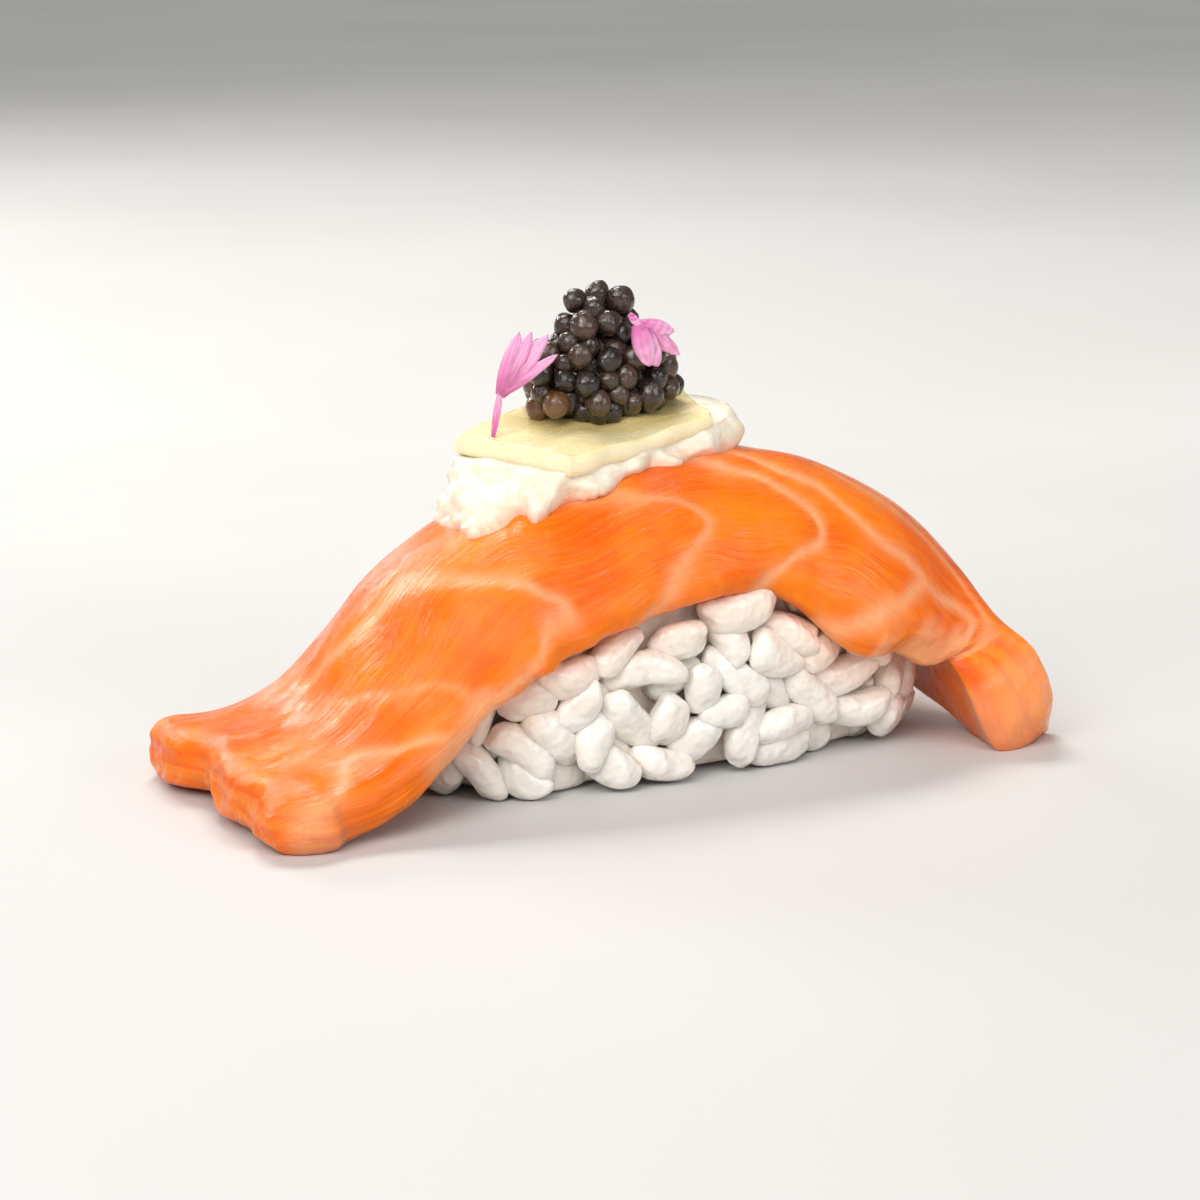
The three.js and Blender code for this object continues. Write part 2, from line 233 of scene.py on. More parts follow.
# A display colour of 0 to 255 per channel as the linear colour that shaders use.
def colour(red, green, blue):
    share = np.array([red, green, blue]) / 255
    linear = np.where(share <= 0.04045, share / 12.92, ((share + 0.055) / 1.055) ** 2.4)
    return (*linear.tolist(), 1)


# Adds a node; inputs are values or the sockets that feed them, settings are the node's own choices.
def addNode(tree, kind, inputs=None, **settings):
    node = tree.nodes.new(kind)
    for key, value in settings.items():
        setattr(node, key, value)
    for key, value in (inputs or {}).items():
        if isinstance(value, bpy.types.NodeSocket):
            tree.links.new(value, node.inputs[key])
        else:
            node.inputs[key].default_value = value
    return node


# One sum, product or comparison of two values.
def mathNode(tree, operation, first, second=0.0, clamp=False):
    node = addNode(tree, "ShaderNodeMath", {0: first, 1: second}, operation=operation, use_clamp=clamp)
    return node.outputs[0]


# Moves a value from one range to another with soft ends.
def rangeOf(tree, value, fromLow, fromHigh, toLow=0.0, toHigh=1.0):
    node = addNode(tree, "ShaderNodeMapRange", {"Value": value, "From Min": fromLow, "From Max": fromHigh,
                                                "To Min": toLow, "To Max": toHigh},
                   interpolation_type="SMOOTHSTEP")
    return node.outputs["Result"]


# first + (second - first) * share, for colours.
def mixColour(tree, share, first, second):
    node = addNode(tree, "ShaderNodeMix", {0: share, 6: first, 7: second}, data_type="RGBA")
    return node.outputs[2]


# Lays a tint over a colour: it covers mask * share of it.
def layOver(tree, base, mask, share, tint):
    return mixColour(tree, mathNode(tree, "MULTIPLY", mask, share), base, tint)


# Cloudy noise between 0 and 1; the scale is its rate per unit of the vector.
def noiseAt(tree, vector, scale, detail=3.0, roughness=0.5, distortion=0.0):
    node = addNode(tree, "ShaderNodeTexNoise", {"Vector": vector, "Scale": scale, "Detail": detail,
                                                "Roughness": roughness, "Distortion": distortion})
    return node.outputs["Fac"]


# A new node group with its named inputs (label, kind, value) and outputs (label, kind).
def startGroup(name, inputs, outputs):
    group = bpy.data.node_groups.new(name, "ShaderNodeTree")
    for label, kind, value in inputs:
        socket = group.interface.new_socket(label, in_out="INPUT", socket_type=kind)
        if value is not None:
            socket.default_value = value
    for label, kind in outputs:
        group.interface.new_socket(label, in_out="OUTPUT", socket_type=kind)
    return group, group.nodes.new("NodeGroupInput"), group.nodes.new("NodeGroupOutput")


# Places a group in a tree and gives its outputs.
def useGroup(tree, group, inputs):
    node = addNode(tree, "ShaderNodeGroup", node_tree=group)
    for key, value in inputs.items():
        if isinstance(value, bpy.types.NodeSocket):
            tree.links.new(value, node.inputs[key])
        else:
            node.inputs[key].default_value = value
    return node.outputs


vectorIn = ("Vector", "NodeSocketVector", None)


# Long thin fibres: noise stretched along the first axis, whose second axis wanders on a slow noise.
def fibreGroup():
    group, given, out = startGroup("fibres", [
        vectorIn, ("Length", "NodeSocketFloat", 12.0), ("Width", "NodeSocketFloat", 0.5),
        ("Wander", "NodeSocketFloat", 3.0)], [("Mask", "NodeSocketFloat"), ("Height", "NodeSocketFloat")])
    slow = noiseAt(group, given.outputs["Vector"], 0.07, 1.0)
    shift = mathNode(group, "MULTIPLY", mathNode(group, "SUBTRACT", slow, 0.5), given.outputs["Wander"])
    split = addNode(group, "ShaderNodeSeparateXYZ", {0: given.outputs["Vector"]})
    along = mathNode(group, "DIVIDE", split.outputs["X"], given.outputs["Length"])
    moved = mathNode(group, "ADD", split.outputs["Y"], shift)
    across = mathNode(group, "DIVIDE", moved, given.outputs["Width"])
    depth = mathNode(group, "DIVIDE", split.outputs["Z"], given.outputs["Width"])
    stretched = addNode(group, "ShaderNodeCombineXYZ", {0: along, 1: across, 2: depth}).outputs[0]
    coarse = noiseAt(group, stretched, 0.5, 2.0, 0.55)
    fine = noiseAt(group, stretched, 1.6, 2.0, 0.6)
    group.links.new(rangeOf(group, coarse, 0.36, 0.66), out.inputs["Mask"])
    coarsePart = mathNode(group, "MULTIPLY", coarse, 0.6)
    finePart = mathNode(group, "MULTIPLY", fine, 0.4)
    group.links.new(mathNode(group, "ADD", coarsePart, finePart), out.inputs["Height"])
    return group


# Wet breakup of the gloss: a patchy roughness between two values, and a fine height.
def wetGroup():
    group, given, out = startGroup("wetness", [
        vectorIn, ("Size", "NodeSocketFloat", 2.0), ("Glossy", "NodeSocketFloat", 0.1),
        ("Dull", "NodeSocketFloat", 0.4)], [("Roughness", "NodeSocketFloat"), ("Height", "NodeSocketFloat")])
    rate = mathNode(group, "DIVIDE", 1.0, given.outputs["Size"])
    patch = noiseAt(group, given.outputs["Vector"], rate, 3.0, 0.6, 0.4)
    rough = addNode(group, "ShaderNodeMapRange", {"Value": patch, "From Min": 0.35, "From Max": 0.65,
                                                  "To Min": given.outputs["Glossy"],
                                                  "To Max": given.outputs["Dull"]})
    grain = noiseAt(group, given.outputs["Vector"], mathNode(group, "MULTIPLY", rate, 3.0), 2.0, 0.5)
    group.links.new(rough.outputs["Result"], out.inputs["Roughness"])
    group.links.new(grain, out.inputs["Height"])
    return group


# Two colours in soft clouds of the given size.
def mottleGroup():
    group, given, out = startGroup("mottle", [
        vectorIn, ("Size", "NodeSocketFloat", 5.0), ("Share", "NodeSocketFloat", 0.5),
        ("First", "NodeSocketColor", None), ("Second", "NodeSocketColor", None)],
        [("Color", "NodeSocketColor")])
    rate = mathNode(group, "DIVIDE", 1.0, given.outputs["Size"])
    cloud = noiseAt(group, given.outputs["Vector"], rate, 3.0, 0.55, 0.3)
    lifted = mathNode(group, "ADD", cloud, mathNode(group, "SUBTRACT", given.outputs["Share"], 0.5))
    mask = rangeOf(group, lifted, 0.32, 0.68)
    clouds = mixColour(group, mask, given.outputs["First"], given.outputs["Second"])
    group.links.new(clouds, out.inputs["Color"])
    return group


# Scattered specks: a pattern of cells, of which only a share has a dot at its centre.
def speckGroup():
    group, given, out = startGroup("specks", [
        vectorIn, ("Spacing", "NodeSocketFloat", 2.0), ("Radius", "NodeSocketFloat", 0.1),
        ("Share", "NodeSocketFloat", 0.3)], [("Mask", "NodeSocketFloat")])
    rate = mathNode(group, "DIVIDE", 1.0, given.outputs["Spacing"])
    cells = addNode(group, "ShaderNodeTexVoronoi", {"Vector": given.outputs["Vector"], "Scale": rate})
    radius = mathNode(group, "MULTIPLY", given.outputs["Radius"], rate)
    share = mathNode(group, "DIVIDE", cells.outputs["Distance"], radius)
    dot = mathNode(group, "SUBTRACT", 1.0, share, clamp=True)
    pick = addNode(group, "ShaderNodeSeparateColor", {0: cells.outputs["Color"]}).outputs[0]
    chosen = mathNode(group, "LESS_THAN", pick, given.outputs["Share"])
    soft = rangeOf(group, dot, 0.0, 0.5)
    group.links.new(mathNode(group, "MULTIPLY", soft, chosen), out.inputs["Mask"])
    return group


fibres = fibreGroup()
wetness = wetGroup()
mottle = mottleGroup()
specks = speckGroup()
print("shader groups made")


# An empty material whose shader has the given values; returns it with its tree and its shader node.
def startMaterial(name, values):
    material = bpy.data.materials.new(name)
    material.use_nodes = True
    tree = material.node_tree
    shader = tree.nodes["Principled BSDF"]
    for key, value in values.items():
        shader.inputs[key].default_value = value
    return material, tree, shader


# Two colours in clouds, from the mottle group.
def cloudsOf(tree, vector, size, pair, share=0.5):
    return useGroup(tree, mottle, {"Vector": vector, "Size": size, "Share": share,
                                   "First": pair[0], "Second": pair[1]})["Color"]


# Lays specks of a tint over a colour, from the specks group.
def speckled(tree, base, vector, dots, share, tint):
    return layOver(tree, base, useGroup(tree, specks, {"Vector": vector, **dots})["Mask"], share, tint)


# Gives the shader its colour and a wet, patchy roughness; returns the height of the wetness.
def wetFinish(tree, shader, base, vector, wet):
    patches = useGroup(tree, wetness, {"Vector": vector, **wet})
    tree.links.new(base, shader.inputs["Base Color"])
    tree.links.new(patches["Roughness"], shader.inputs["Roughness"])
    return patches["Height"]


# A mesh attribute by name: output "Fac" of a number, "Vector" of a vector.
def attributeOf(tree, name, output="Fac"):
    return addNode(tree, "ShaderNodeAttribute", attribute_name=name).outputs[output]


# Object coordinates in mm.
def placeInMm(tree):
    place = addNode(tree, "ShaderNodeTexCoord").outputs["Object"]
    return addNode(tree, "ShaderNodeVectorMath", {0: place, 3: 1000.0}, operation="SCALE").outputs[0]


# The surface direction that a height gives, its distance in mm, on top of another one if given.
def bumpFrom(tree, height, distanceMm, strength=1.0, under=None):
    inputs = {"Height": height, "Distance": distanceMm * mm, "Strength": strength}
    if under is not None:
        inputs["Normal"] = under
    return addNode(tree, "ShaderNodeBump", inputs).outputs["Normal"]


# The salmon.

salmonSettings = {
    "length": 99.5,                                  # along the ridge, mm
    "startX": -41.8, "startZ": 6.4, "startAngle": 1.9,
    "bends": [(8.1, 16.5, 62.9), (13.6, 58, -12.5), (26.4, 23.7, -35.7), (67.5, 65.9, -63.9),
              (85.2, 20, -26.6), (100.1, 8.2, 30)],  # (at, over, turn in degrees)
    "thick": (5.4, 6.1, 6.5), "thickChanges": ((4, 24), (66, 88)),       # left, middle, right; from, to
    "halfWidth": (16.7, 20.8, 14.3), "widthChanges": ((4, 32), (64, 86)), "leanToBack": 0.6,
    "droopFeet": 8.5, "droopMiddle": 82, "rise": (1, 29), "fall": (65, 88),
    "edgeThinning": 0.4,
    "frontLobes": [(14, 7, -0.8), (38, 9, -0.8), (55, 9, -1), (73, 5, 2.1), (99, 6, 4.4)],
    "frontHang": [(75.7, 8, 5.8), (84, 5, 5.6), (90, 3.5, 1.9), (97, 5, 2.4)],
    "frontSwell": (98, 5, 4),                        # (at, spread, up) of the raised front corner
    "endSkew": 5.2, "cornerLength": 5, "cornerDepth": 2.4,
    "cutStart": [(0.7, 5.2, 0.6), (0.4, 9, 0)], "cutEnd": [(0.5, 6, 2)],  # (out, rate, phase)
    "rimLeft": 2.6, "rimRight": 0.9, "rimChange": (66, 80), "rimBottom": 1.4, "rimAt": 0.55,
    "calmRim": 4, "calmRight": 0.85, "calmChange": (66, 76),  # where the relief fades out
    "notchOut": 0.9, "notchEdge": (4.4, 5.6),
    "ragged": [(0.16, 6, 11, 2), (0.07, 1.6, 12, 1)],  # (out, size, seed, rate down the cut)
    "raggedEnd": [(0.3, 7, 13), (0.14, 1.8, 14)], "raggedEndOver": 1.5,
    "fatWander": 0.45, "fatUneven": 0.35,
    "relief": {"swell": 0.13, "folds": 0.05, "footFolds": 0.1, "fat": 0.2, "veilAndSheen": 0.05}, "foot": (8, 18),
    "rows": 340, "columns": 141,
    "shader": {"Coat Roughness": 0.07, "IOR": 1.4, "Coat IOR": 1.35, "Specular IOR Level": 0.16,
               "Subsurface Weight": 0.3, "Subsurface Scale": 0.0018, "Subsurface Radius": (1.0, 0.38, 0.04)},
    "fleshColours": (colour(238, 96, 0), colour(250, 128, 4)), "cloudSize": 11.0,
    "strands": {"Length": 20.0, "Width": 1.6, "Wander": 9.0}, "strandColour": colour(224, 76, 0),
    "threads": {"Length": 5.0, "Width": 0.24, "Wander": 6.0}, "threadColour": colour(255, 152, 44),
    "layerColours": (colour(230, 92, 0), colour(250, 142, 8)), "layerSize": 1.3,
    "shadedUnderColour": colour(214, 66, 0),
    "veilAndSheenColour": colour(246, 140, 66), "fatColour": colour(246, 178, 130),
    "specks": {"Spacing": 7.0, "Radius": 0.22, "Share": 0.12}, "speckColour": colour(120, 40, 10),
    "wet": {"Size": 3.0, "Glossy": 0.15, "Dull": 0.36},
}

# Fat lines as places on the sheet (along the ridge, across from the ridge, in mm), with how wide and
# strong each is and how wide its pale veil, which also carries painted sheen.
fatLines = [
    {"at": [(1.5, -16.2), (4.5, -15.2), (7.5, -12.4), (10.1, -12.0), (13.4, -15.0), (14, -16.6)],
     "width": 0.8, "strength": 0.75, "veilAndSheen": 1.6},
    {"at": [(11.2, -17.4), (13.4, -16.3), (16.2, -16.5), (19.6, -17.7), (25, -18.6)],
     "width": 0.7, "strength": 0.9, "veilAndSheen": 1.4},
    {"at": [(25, -18.4), (29, -16.9), (31.7, -15.9), (34.2, -15.1), (34.7, -14), (33, -11.3), (30.2, -8.6),
            (26.6, -5.4), (24.2, -1.9), (17.4, -0.6), (11, 4)], "width": 0.8, "strength": 0.8, "veilAndSheen": 3.2},
    {"at": [(12.5, -4.7), (15.3, -9.7), (17.2, -12.8), (17.8, -15.6)],
     "width": 0.7, "strength": 0.4, "veilAndSheen": 2.2},
    {"at": [(43.2, -19.4), (44.5, -18.1), (46.4, -16.7), (48.7, -15.4), (51.2, -13.9), (52.7, -12.7),
            (52.9, -11.5), (51.9, -10.2), (49.8, -8.6), (47.8, -7.4), (44, -5), (38, 1), (33, 8), (36, 14),
            (42, 19)], "width": 0.8, "strength": 0.7, "veilAndSheen": 2.6},
    {"at": [(56.6, -19.4), (57.6, -18.8), (61.3, -16.8), (64.9, -14.6), (66.7, -13.1), (66.6, -11.4),
            (65, -9.8), (61.7, -7.8), (59, -6.2), (54, -1), (51, 7), (54, 14), (60, 19)],
     "width": 0.75, "strength": 0.9, "veilAndSheen": 2.2},
    {"at": [(55, 0), (60.4, -2.2), (63.8, -4.7), (68.1, -8), (70.8, -10.2), (73.6, -12.5), (76.4, -13.1),
            (79.5, -13.1), (83, -13.6), (86, -14.6)], "width": 0.8, "strength": 0.85, "veilAndSheen": 1.8},
    {"at": [(79.5, -13.1), (78.5, -14.4), (75.7, -16.2), (73.4, -17.9), (71.9, -19.1), (67.6, -20.4)],
     "width": 0.8, "strength": 0.8, "veilAndSheen": 1.8},
    {"at": [(70, -3), (76, -6.5), (81.3, -9.3), (84.4, -10.1), (86.5, -12.5), (90, -14.7)],
     "width": 0.6, "strength": 0.6, "veilAndSheen": 1.4},
    {"at": [(74, -19.6), (76.5, -17.9), (79.2, -16.2), (82, -15), (86, -14.8), (92, -16.4)],
     "width": 0.7, "strength": 0.85, "veilAndSheen": 1.2},
    {"at": [(96.5, -16), (98, -17.5), (100.5, -18)], "width": 1.6, "strength": 0.6, "veilAndSheen": 4.5},
    {"at": [(66, 2), (73, 8), (79, 9), (83, 4), (88, -1)], "width": 0.7, "strength": 0.6, "veilAndSheen": 2},
    {"at": [(70, 19), (76, 14), (84, 11), (92, 12)], "width": 0.7, "strength": 0.6, "veilAndSheen": 2},
]


# The ridge line: its direction starts at the start angle and turns by each bend, and the line is the
# running sum of the direction's cosine and sine.
def ridgeLine(shape):
    s = np.linspace(0, shape["length"] * 1.05, 401)
    turned = sum(turn * easeBetween(s, at - over / 2, at + over / 2) for at, over, turn in shape["bends"])
    angle = np.radians(shape["startAngle"] + turned)
    x = shape["startX"] + np.concatenate([[0], np.cumsum(np.cos(angle[:-1]))]) * s[1]
    z = shape["startZ"] + np.concatenate([[0], np.cumsum(np.sin(angle[:-1]))]) * s[1]
    return s, x, z, angle


# One of three values along the sheet, left, middle or right, easing over two stretches.
def threeAlong(s, values, changes):
    left, middle, right = values
    return mixed(mixed(left, middle, easeBetween(s, *changes[0])), right, easeBetween(s, *changes[1]))


# The sum of sine waves given as (out, rate, phase).
def sines(value, terms):
    return sum(out * np.sin(value * rate + phase) for out, rate, phase in terms)


# The draped sheet. Across it, its angle grows evenly from the ridge to the edge, so the section is an
# arc of a circle; a point below the upper face lies inwards along the sheet's own normal; the front
# edge hangs lower by bells along the length. Returns points and (along, across, depth) in mm.
def salmonSheet(shape, along, across, lower, detail=True):
    side = np.where(across < 0, -1.0, 1.0)
    frontShare = np.where(side < 0, np.abs(across) ** 3, 0)
    cutStart = sines(across, shape["cutStart"])
    cutEnd = shape["length"] - shape["endSkew"] * across + sines(across, shape["cutEnd"])
    s = mixed(cutStart, cutEnd, along)
    draped = easeBetween(s, *shape["rise"]) * (1 - easeBetween(s, *shape["fall"]))
    width = threeAlong(s, shape["halfWidth"], shape["widthChanges"]) + side * shape["leanToBack"] * draped
    lobes = sum(out * bell(s, at, spread) for at, spread, out in shape["frontLobes"])
    width = width + np.where(side < 0, lobes, 0)
    fromEnd = np.minimum(s - cutStart, cutEnd - s)
    width = width - shape["cornerDepth"] * np.clip(1 - fromEnd / shape["cornerLength"], 0, 1) ** 3
    thick = threeAlong(s, shape["thick"], shape["thickChanges"])
    thick = thick * (1 - shape["edgeThinning"] * draped * across ** 2)
    fromRim = np.minimum((1 - np.abs(across)) * width, fromEnd)
    topRadius = mixed(shape["rimLeft"], shape["rimRight"], easeBetween(s, *shape["rimChange"]))
    radius = shape["rimBottom"] if lower else topRadius
    rounding = np.sqrt(1 - (1 - np.clip(fromRim / radius, 0, 1)) ** 2)
    rim = shape["rimAt"] * thick
    plainDepth = rim + (thick - rim) * rounding if lower else rim - rim * rounding
    depth = plainDepth
    lateral = across * width
    if detail:
        calm = easeBetween(fromEnd, 0, shape["calmRim"])
        calm = calm * (1 - shape["calmRight"] * easeBetween(s, *shape["calmChange"]))
        depth = depth - calm * fleshRelief(shape, s, lateral, lower)
        notch = np.where(side < 0, shape["notchOut"] * (1 - easeBetween(s, *shape["notchEdge"])), 0)
        width = width + notch * np.abs(across) ** 3
        ragged = sum(out * waves(np.stack([s, depth * rate], -1), size, seed)
                     for out, size, seed, rate in shape["ragged"])
        width = width + ragged * easeBetween(np.abs(across), 0.8, 1)
    swellAt, swellSpread, swellUp = shape["frontSwell"]
    swollen = frontShare * swellUp * bell(s, swellAt, swellSpread)
    swollen = swollen * np.clip(1 - plainDepth / thick, 0, 1)
    edgeAngle = np.radians(mixed(shape["droopFeet"], shape["droopMiddle"], draped))
    ridgeS, ridgeX, ridgeZ, ridgeAngle = ridgeLine(shape)
    x, z, angle = (np.interp(s, ridgeS, values) for values in (ridgeX, ridgeZ, ridgeAngle))
    radius = width / edgeAngle
    turn = edgeAngle * np.abs(across)
    out = (radius - depth) * np.sin(turn)
    down = radius - (radius - depth) * np.cos(turn)
    hang = sum(drop * bell(s, at, spread) for at, spread, drop in shape["frontHang"]) * frontShare
    if detail:
        raggedEnd = waveLayers(np.stack([lateral, depth], -1), shape["raggedEnd"])
        atEnd = 1 - easeBetween(fromEnd, 0, shape["raggedEndOver"])
        x = x + raggedEnd * np.where(along < 0.5, 1, -1) * atEnd
    height = np.maximum(z - np.cos(angle) * down - hang + swollen, 0)
    points = np.stack([x + np.sin(angle) * down, side * out, height], -1)
    return points, np.stack([s, lateral, depth], -1)


# How far each place on the sheet is from a line, in mm: the least distance to its many short pieces.
def distanceToLine(places, line):
    start, step = line[:-1], np.diff(line, axis=0)
    length = (step ** 2).sum(1)
    best = np.full(len(places), 1e9)
    for begin, run, square in zip(start, step, length):
        share = np.clip(((places - begin) @ run) / square, 0, 1)
        best = np.minimum(best, ((places - begin - share[:, None] * run) ** 2).sum(1))
    return np.sqrt(best)


# Masks of the fat: narrow bells round each line for the fat itself and wide ones for its pale veil
# and the painted sheen laid with it.
def fatMasks(shape, flesh):
    places = flesh[..., :2].reshape(-1, 2)
    wander = shape["fatWander"] * np.stack([waves(places, 7, 21), waves(places, 7, 22)], -1)
    uneven = 1 + shape["fatUneven"] * waves(places, 9, 23)
    fat = np.zeros(len(places))
    veilAndSheen = np.zeros(len(places))
    for line in fatLines:
        away = distanceToLine(places + wander, smoothLine(line["at"], 4))
        fat = np.maximum(fat, line["strength"] * bell(away, 0, line["width"] * uneven))
        veilAndSheen = np.maximum(veilAndSheen, line["strength"] * bell(away, 0, line["veilAndSheen"]))
    return fat.reshape(flesh.shape[:-1]), veilAndSheen.reshape(flesh.shape[:-1])


# Height of the flesh over the plain sheet: it swells between the fat lines and sinks at them, runs in
# soft folds along its length and is pleated on the left foot.
def fleshRelief(shape, s, lateral, lower):
    if lower:
        return np.zeros_like(s)
    relief = shape["relief"]
    flesh = np.stack([s, lateral], -1)
    fat, veilAndSheen = fatMasks(shape, flesh)
    folds = waves(np.stack([s / 5, lateral], -1), 3.4, 31)
    swell = waves(flesh, 13, 32)
    foot = 1 - easeBetween(s, *shape["foot"])
    return (relief["swell"] * swell + (relief["folds"] + relief["footFolds"] * foot) * folds
            - relief["fat"] * fat - relief["veilAndSheen"] * veilAndSheen)


# Salmon flesh: clouds of orange, darker strands and paler threads along the slice, layers on the cut
# face, a deeper red under side as painted shade, pale veils carrying painted sheen on the raised
# threads, fat, a few specks, and a wet coat over fine fibres.
def salmonMaterial(look):
    material, tree, shader = startMaterial("salmonFlesh", look["shader"])
    flesh = attributeOf(tree, "flesh", "Vector")
    fat = attributeOf(tree, "fat")
    veilAndSheen = attributeOf(tree, "veilAndSheen")
    depth = addNode(tree, "ShaderNodeSeparateXYZ", {0: flesh}).outputs["Z"]
    thread = useGroup(tree, fibres, {"Vector": flesh, **look["threads"]})
    strand = useGroup(tree, fibres, {"Vector": flesh, **look["strands"]})
    base = cloudsOf(tree, flesh, look["cloudSize"], look["fleshColours"])
    base = layOver(tree, base, strand["Mask"], 0.35, look["strandColour"])
    base = layOver(tree, base, thread["Mask"], 0.22, look["threadColour"])
    layersAt = addNode(tree, "ShaderNodeVectorMath", {0: flesh, 1: (0.06, 0.06, 1.1)}, operation="MULTIPLY")
    layers = cloudsOf(tree, layersAt.outputs[0], look["layerSize"], look["layerColours"])
    base = mixColour(tree, rangeOf(tree, depth, 0.4, 1.6, 0.0, 0.75), base, layers)
    # Darker and redder towards the under side: painted shade.
    base = mixColour(tree, rangeOf(tree, depth, 3.0, 6.5, 0.0, 0.55), base, look["shadedUnderColour"])
    patchy = noiseAt(tree, flesh, 0.55, 3.0, 0.6)
    # Pale veil colour round the fat lines, stronger on the raised threads: partly the fat's own veil, partly
    # painted sheen and glints.
    veilAndSheenShare = mathNode(tree, "MULTIPLY", veilAndSheen, rangeOf(tree, patchy, 0.3, 0.65, 0.06, 0.4))
    threadShare = rangeOf(tree, thread["Height"], 0.3, 0.6, 0.6, 1.0)
    base = layOver(tree, base, veilAndSheenShare, threadShare, look["veilAndSheenColour"])
    fatShare = mathNode(tree, "MULTIPLY", fat, rangeOf(tree, patchy, 0.2, 0.6, 0.7, 1.0))
    base = layOver(tree, base, fatShare, 0.8, look["fatColour"])
    base = speckled(tree, base, flesh, look["specks"], 0.6, look["speckColour"])
    wetHeight = wetFinish(tree, shader, base, flesh, look["wet"])
    coat = rangeOf(tree, noiseAt(tree, flesh, 0.35, 2.0), 0.35, 0.6, 0.25, 0.8)
    tree.links.new(coat, shader.inputs["Coat Weight"])
    coarse = bumpFrom(tree, strand["Height"], 0.1)
    fine = bumpFrom(tree, thread["Height"], 0.2, under=coarse)
    tree.links.new(bumpFrom(tree, wetHeight, 0.05, under=fine), shader.inputs["Normal"])
    tree.links.new(fine, shader.inputs["Coat Normal"])
    return material


salmonAlong = (crowdedSteps(salmonSettings["rows"], 0.3) + 1) / 2
salmonAcross = crowdedSteps(salmonSettings["columns"])
gridAlong, gridAcross = np.meshgrid(salmonAlong, salmonAcross, indexing="ij")

# The plain sheet, without detail, gives where the CAD salmon's box puts the shapes of this script.
plainAlong, plainAcross = np.meshgrid(np.linspace(0, 1, 201), np.linspace(-1, 1, 81), indexing="ij")
plainTop = salmonSheet(salmonSettings, plainAlong, plainAcross, False, detail=False)[0]
plainUnder = salmonSheet(salmonSettings, plainAlong, plainAcross, True, detail=False)[0]
plainPoints = np.concatenate([plainTop.reshape(-1, 3), plainUnder.reshape(-1, 3)])
salmonLow, salmonHigh = (np.array(corner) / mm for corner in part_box("salmon"))
place = (salmonLow + salmonHigh) / 2 - (plainPoints.min(0) + plainPoints.max(0)) / 2
place[2] = 0
print("shapes are placed by", place.round(2), "mm")

topPoints, topFlesh = salmonSheet(salmonSettings, gridAlong, gridAcross, False)
underPoints, underFlesh = salmonSheet(salmonSettings, gridAlong, gridAcross, True)
topFat, topVeilAndSheen = fatMasks(salmonSettings, topFlesh)
underFat, underVeilAndSheen = fatMasks(salmonSettings, underFlesh)
makePiece("salmonSlice", sheetValues(topPoints, underPoints) + place, sheetFaces(*gridAlong.shape),
          "salmon", salmonMaterial(salmonSettings),
          {"flesh": sheetValues(topFlesh, underFlesh), "fat": sheetValues(topFat, underFat),
           "veilAndSheen": sheetValues(topVeilAndSheen, underVeilAndSheen)})


# Where the salmon's two faces are.

# Outward direction of a grid of points: the cross product of its two running differences.
def gridNormals(points):
    normal = np.cross(np.gradient(points, axis=0), np.gradient(points, axis=1))
    return normal / (np.linalg.norm(normal, axis=-1, keepdims=True) + 1e-12)


underFace = plainUnder[4:-4:3, 3:-3:3].reshape(-1, 3)
underNormal = -gridNormals(plainUnder)[4:-4:3, 3:-3:3].reshape(-1, 3)
topFace = plainTop[2:-2:2, 2:-2:2].reshape(-1, 3)
frontRim, backRim = plainUnder[:, 0], plainUnder[:, -1]


# How far points lie below the salmon, and how far they are from its underside: below is measured along
# the underside's normal, or straight down from the rim for points outside it.
def belowSalmon(points):
    nearest = nearestIndex(points, underFace)
    away = points - underFace[nearest]
    inwards = (away * underNormal[nearest]).sum(1)
    rimHeight = np.where(points[:, 1] < 0, np.interp(points[:, 0], frontRim[:, 0], frontRim[:, 2]),
                         np.interp(points[:, 0], backRim[:, 0], backRim[:, 2]))
    return np.maximum(inwards, rimHeight - points[:, 2]), np.linalg.norm(away, axis=1)


# Height of the salmon's upper face over places in plan.
def salmonTopHeight(plan):
    nearest = nearestIndex(plan, topFace[:, :2])
    return topFace[nearest, 2]


# The rice.

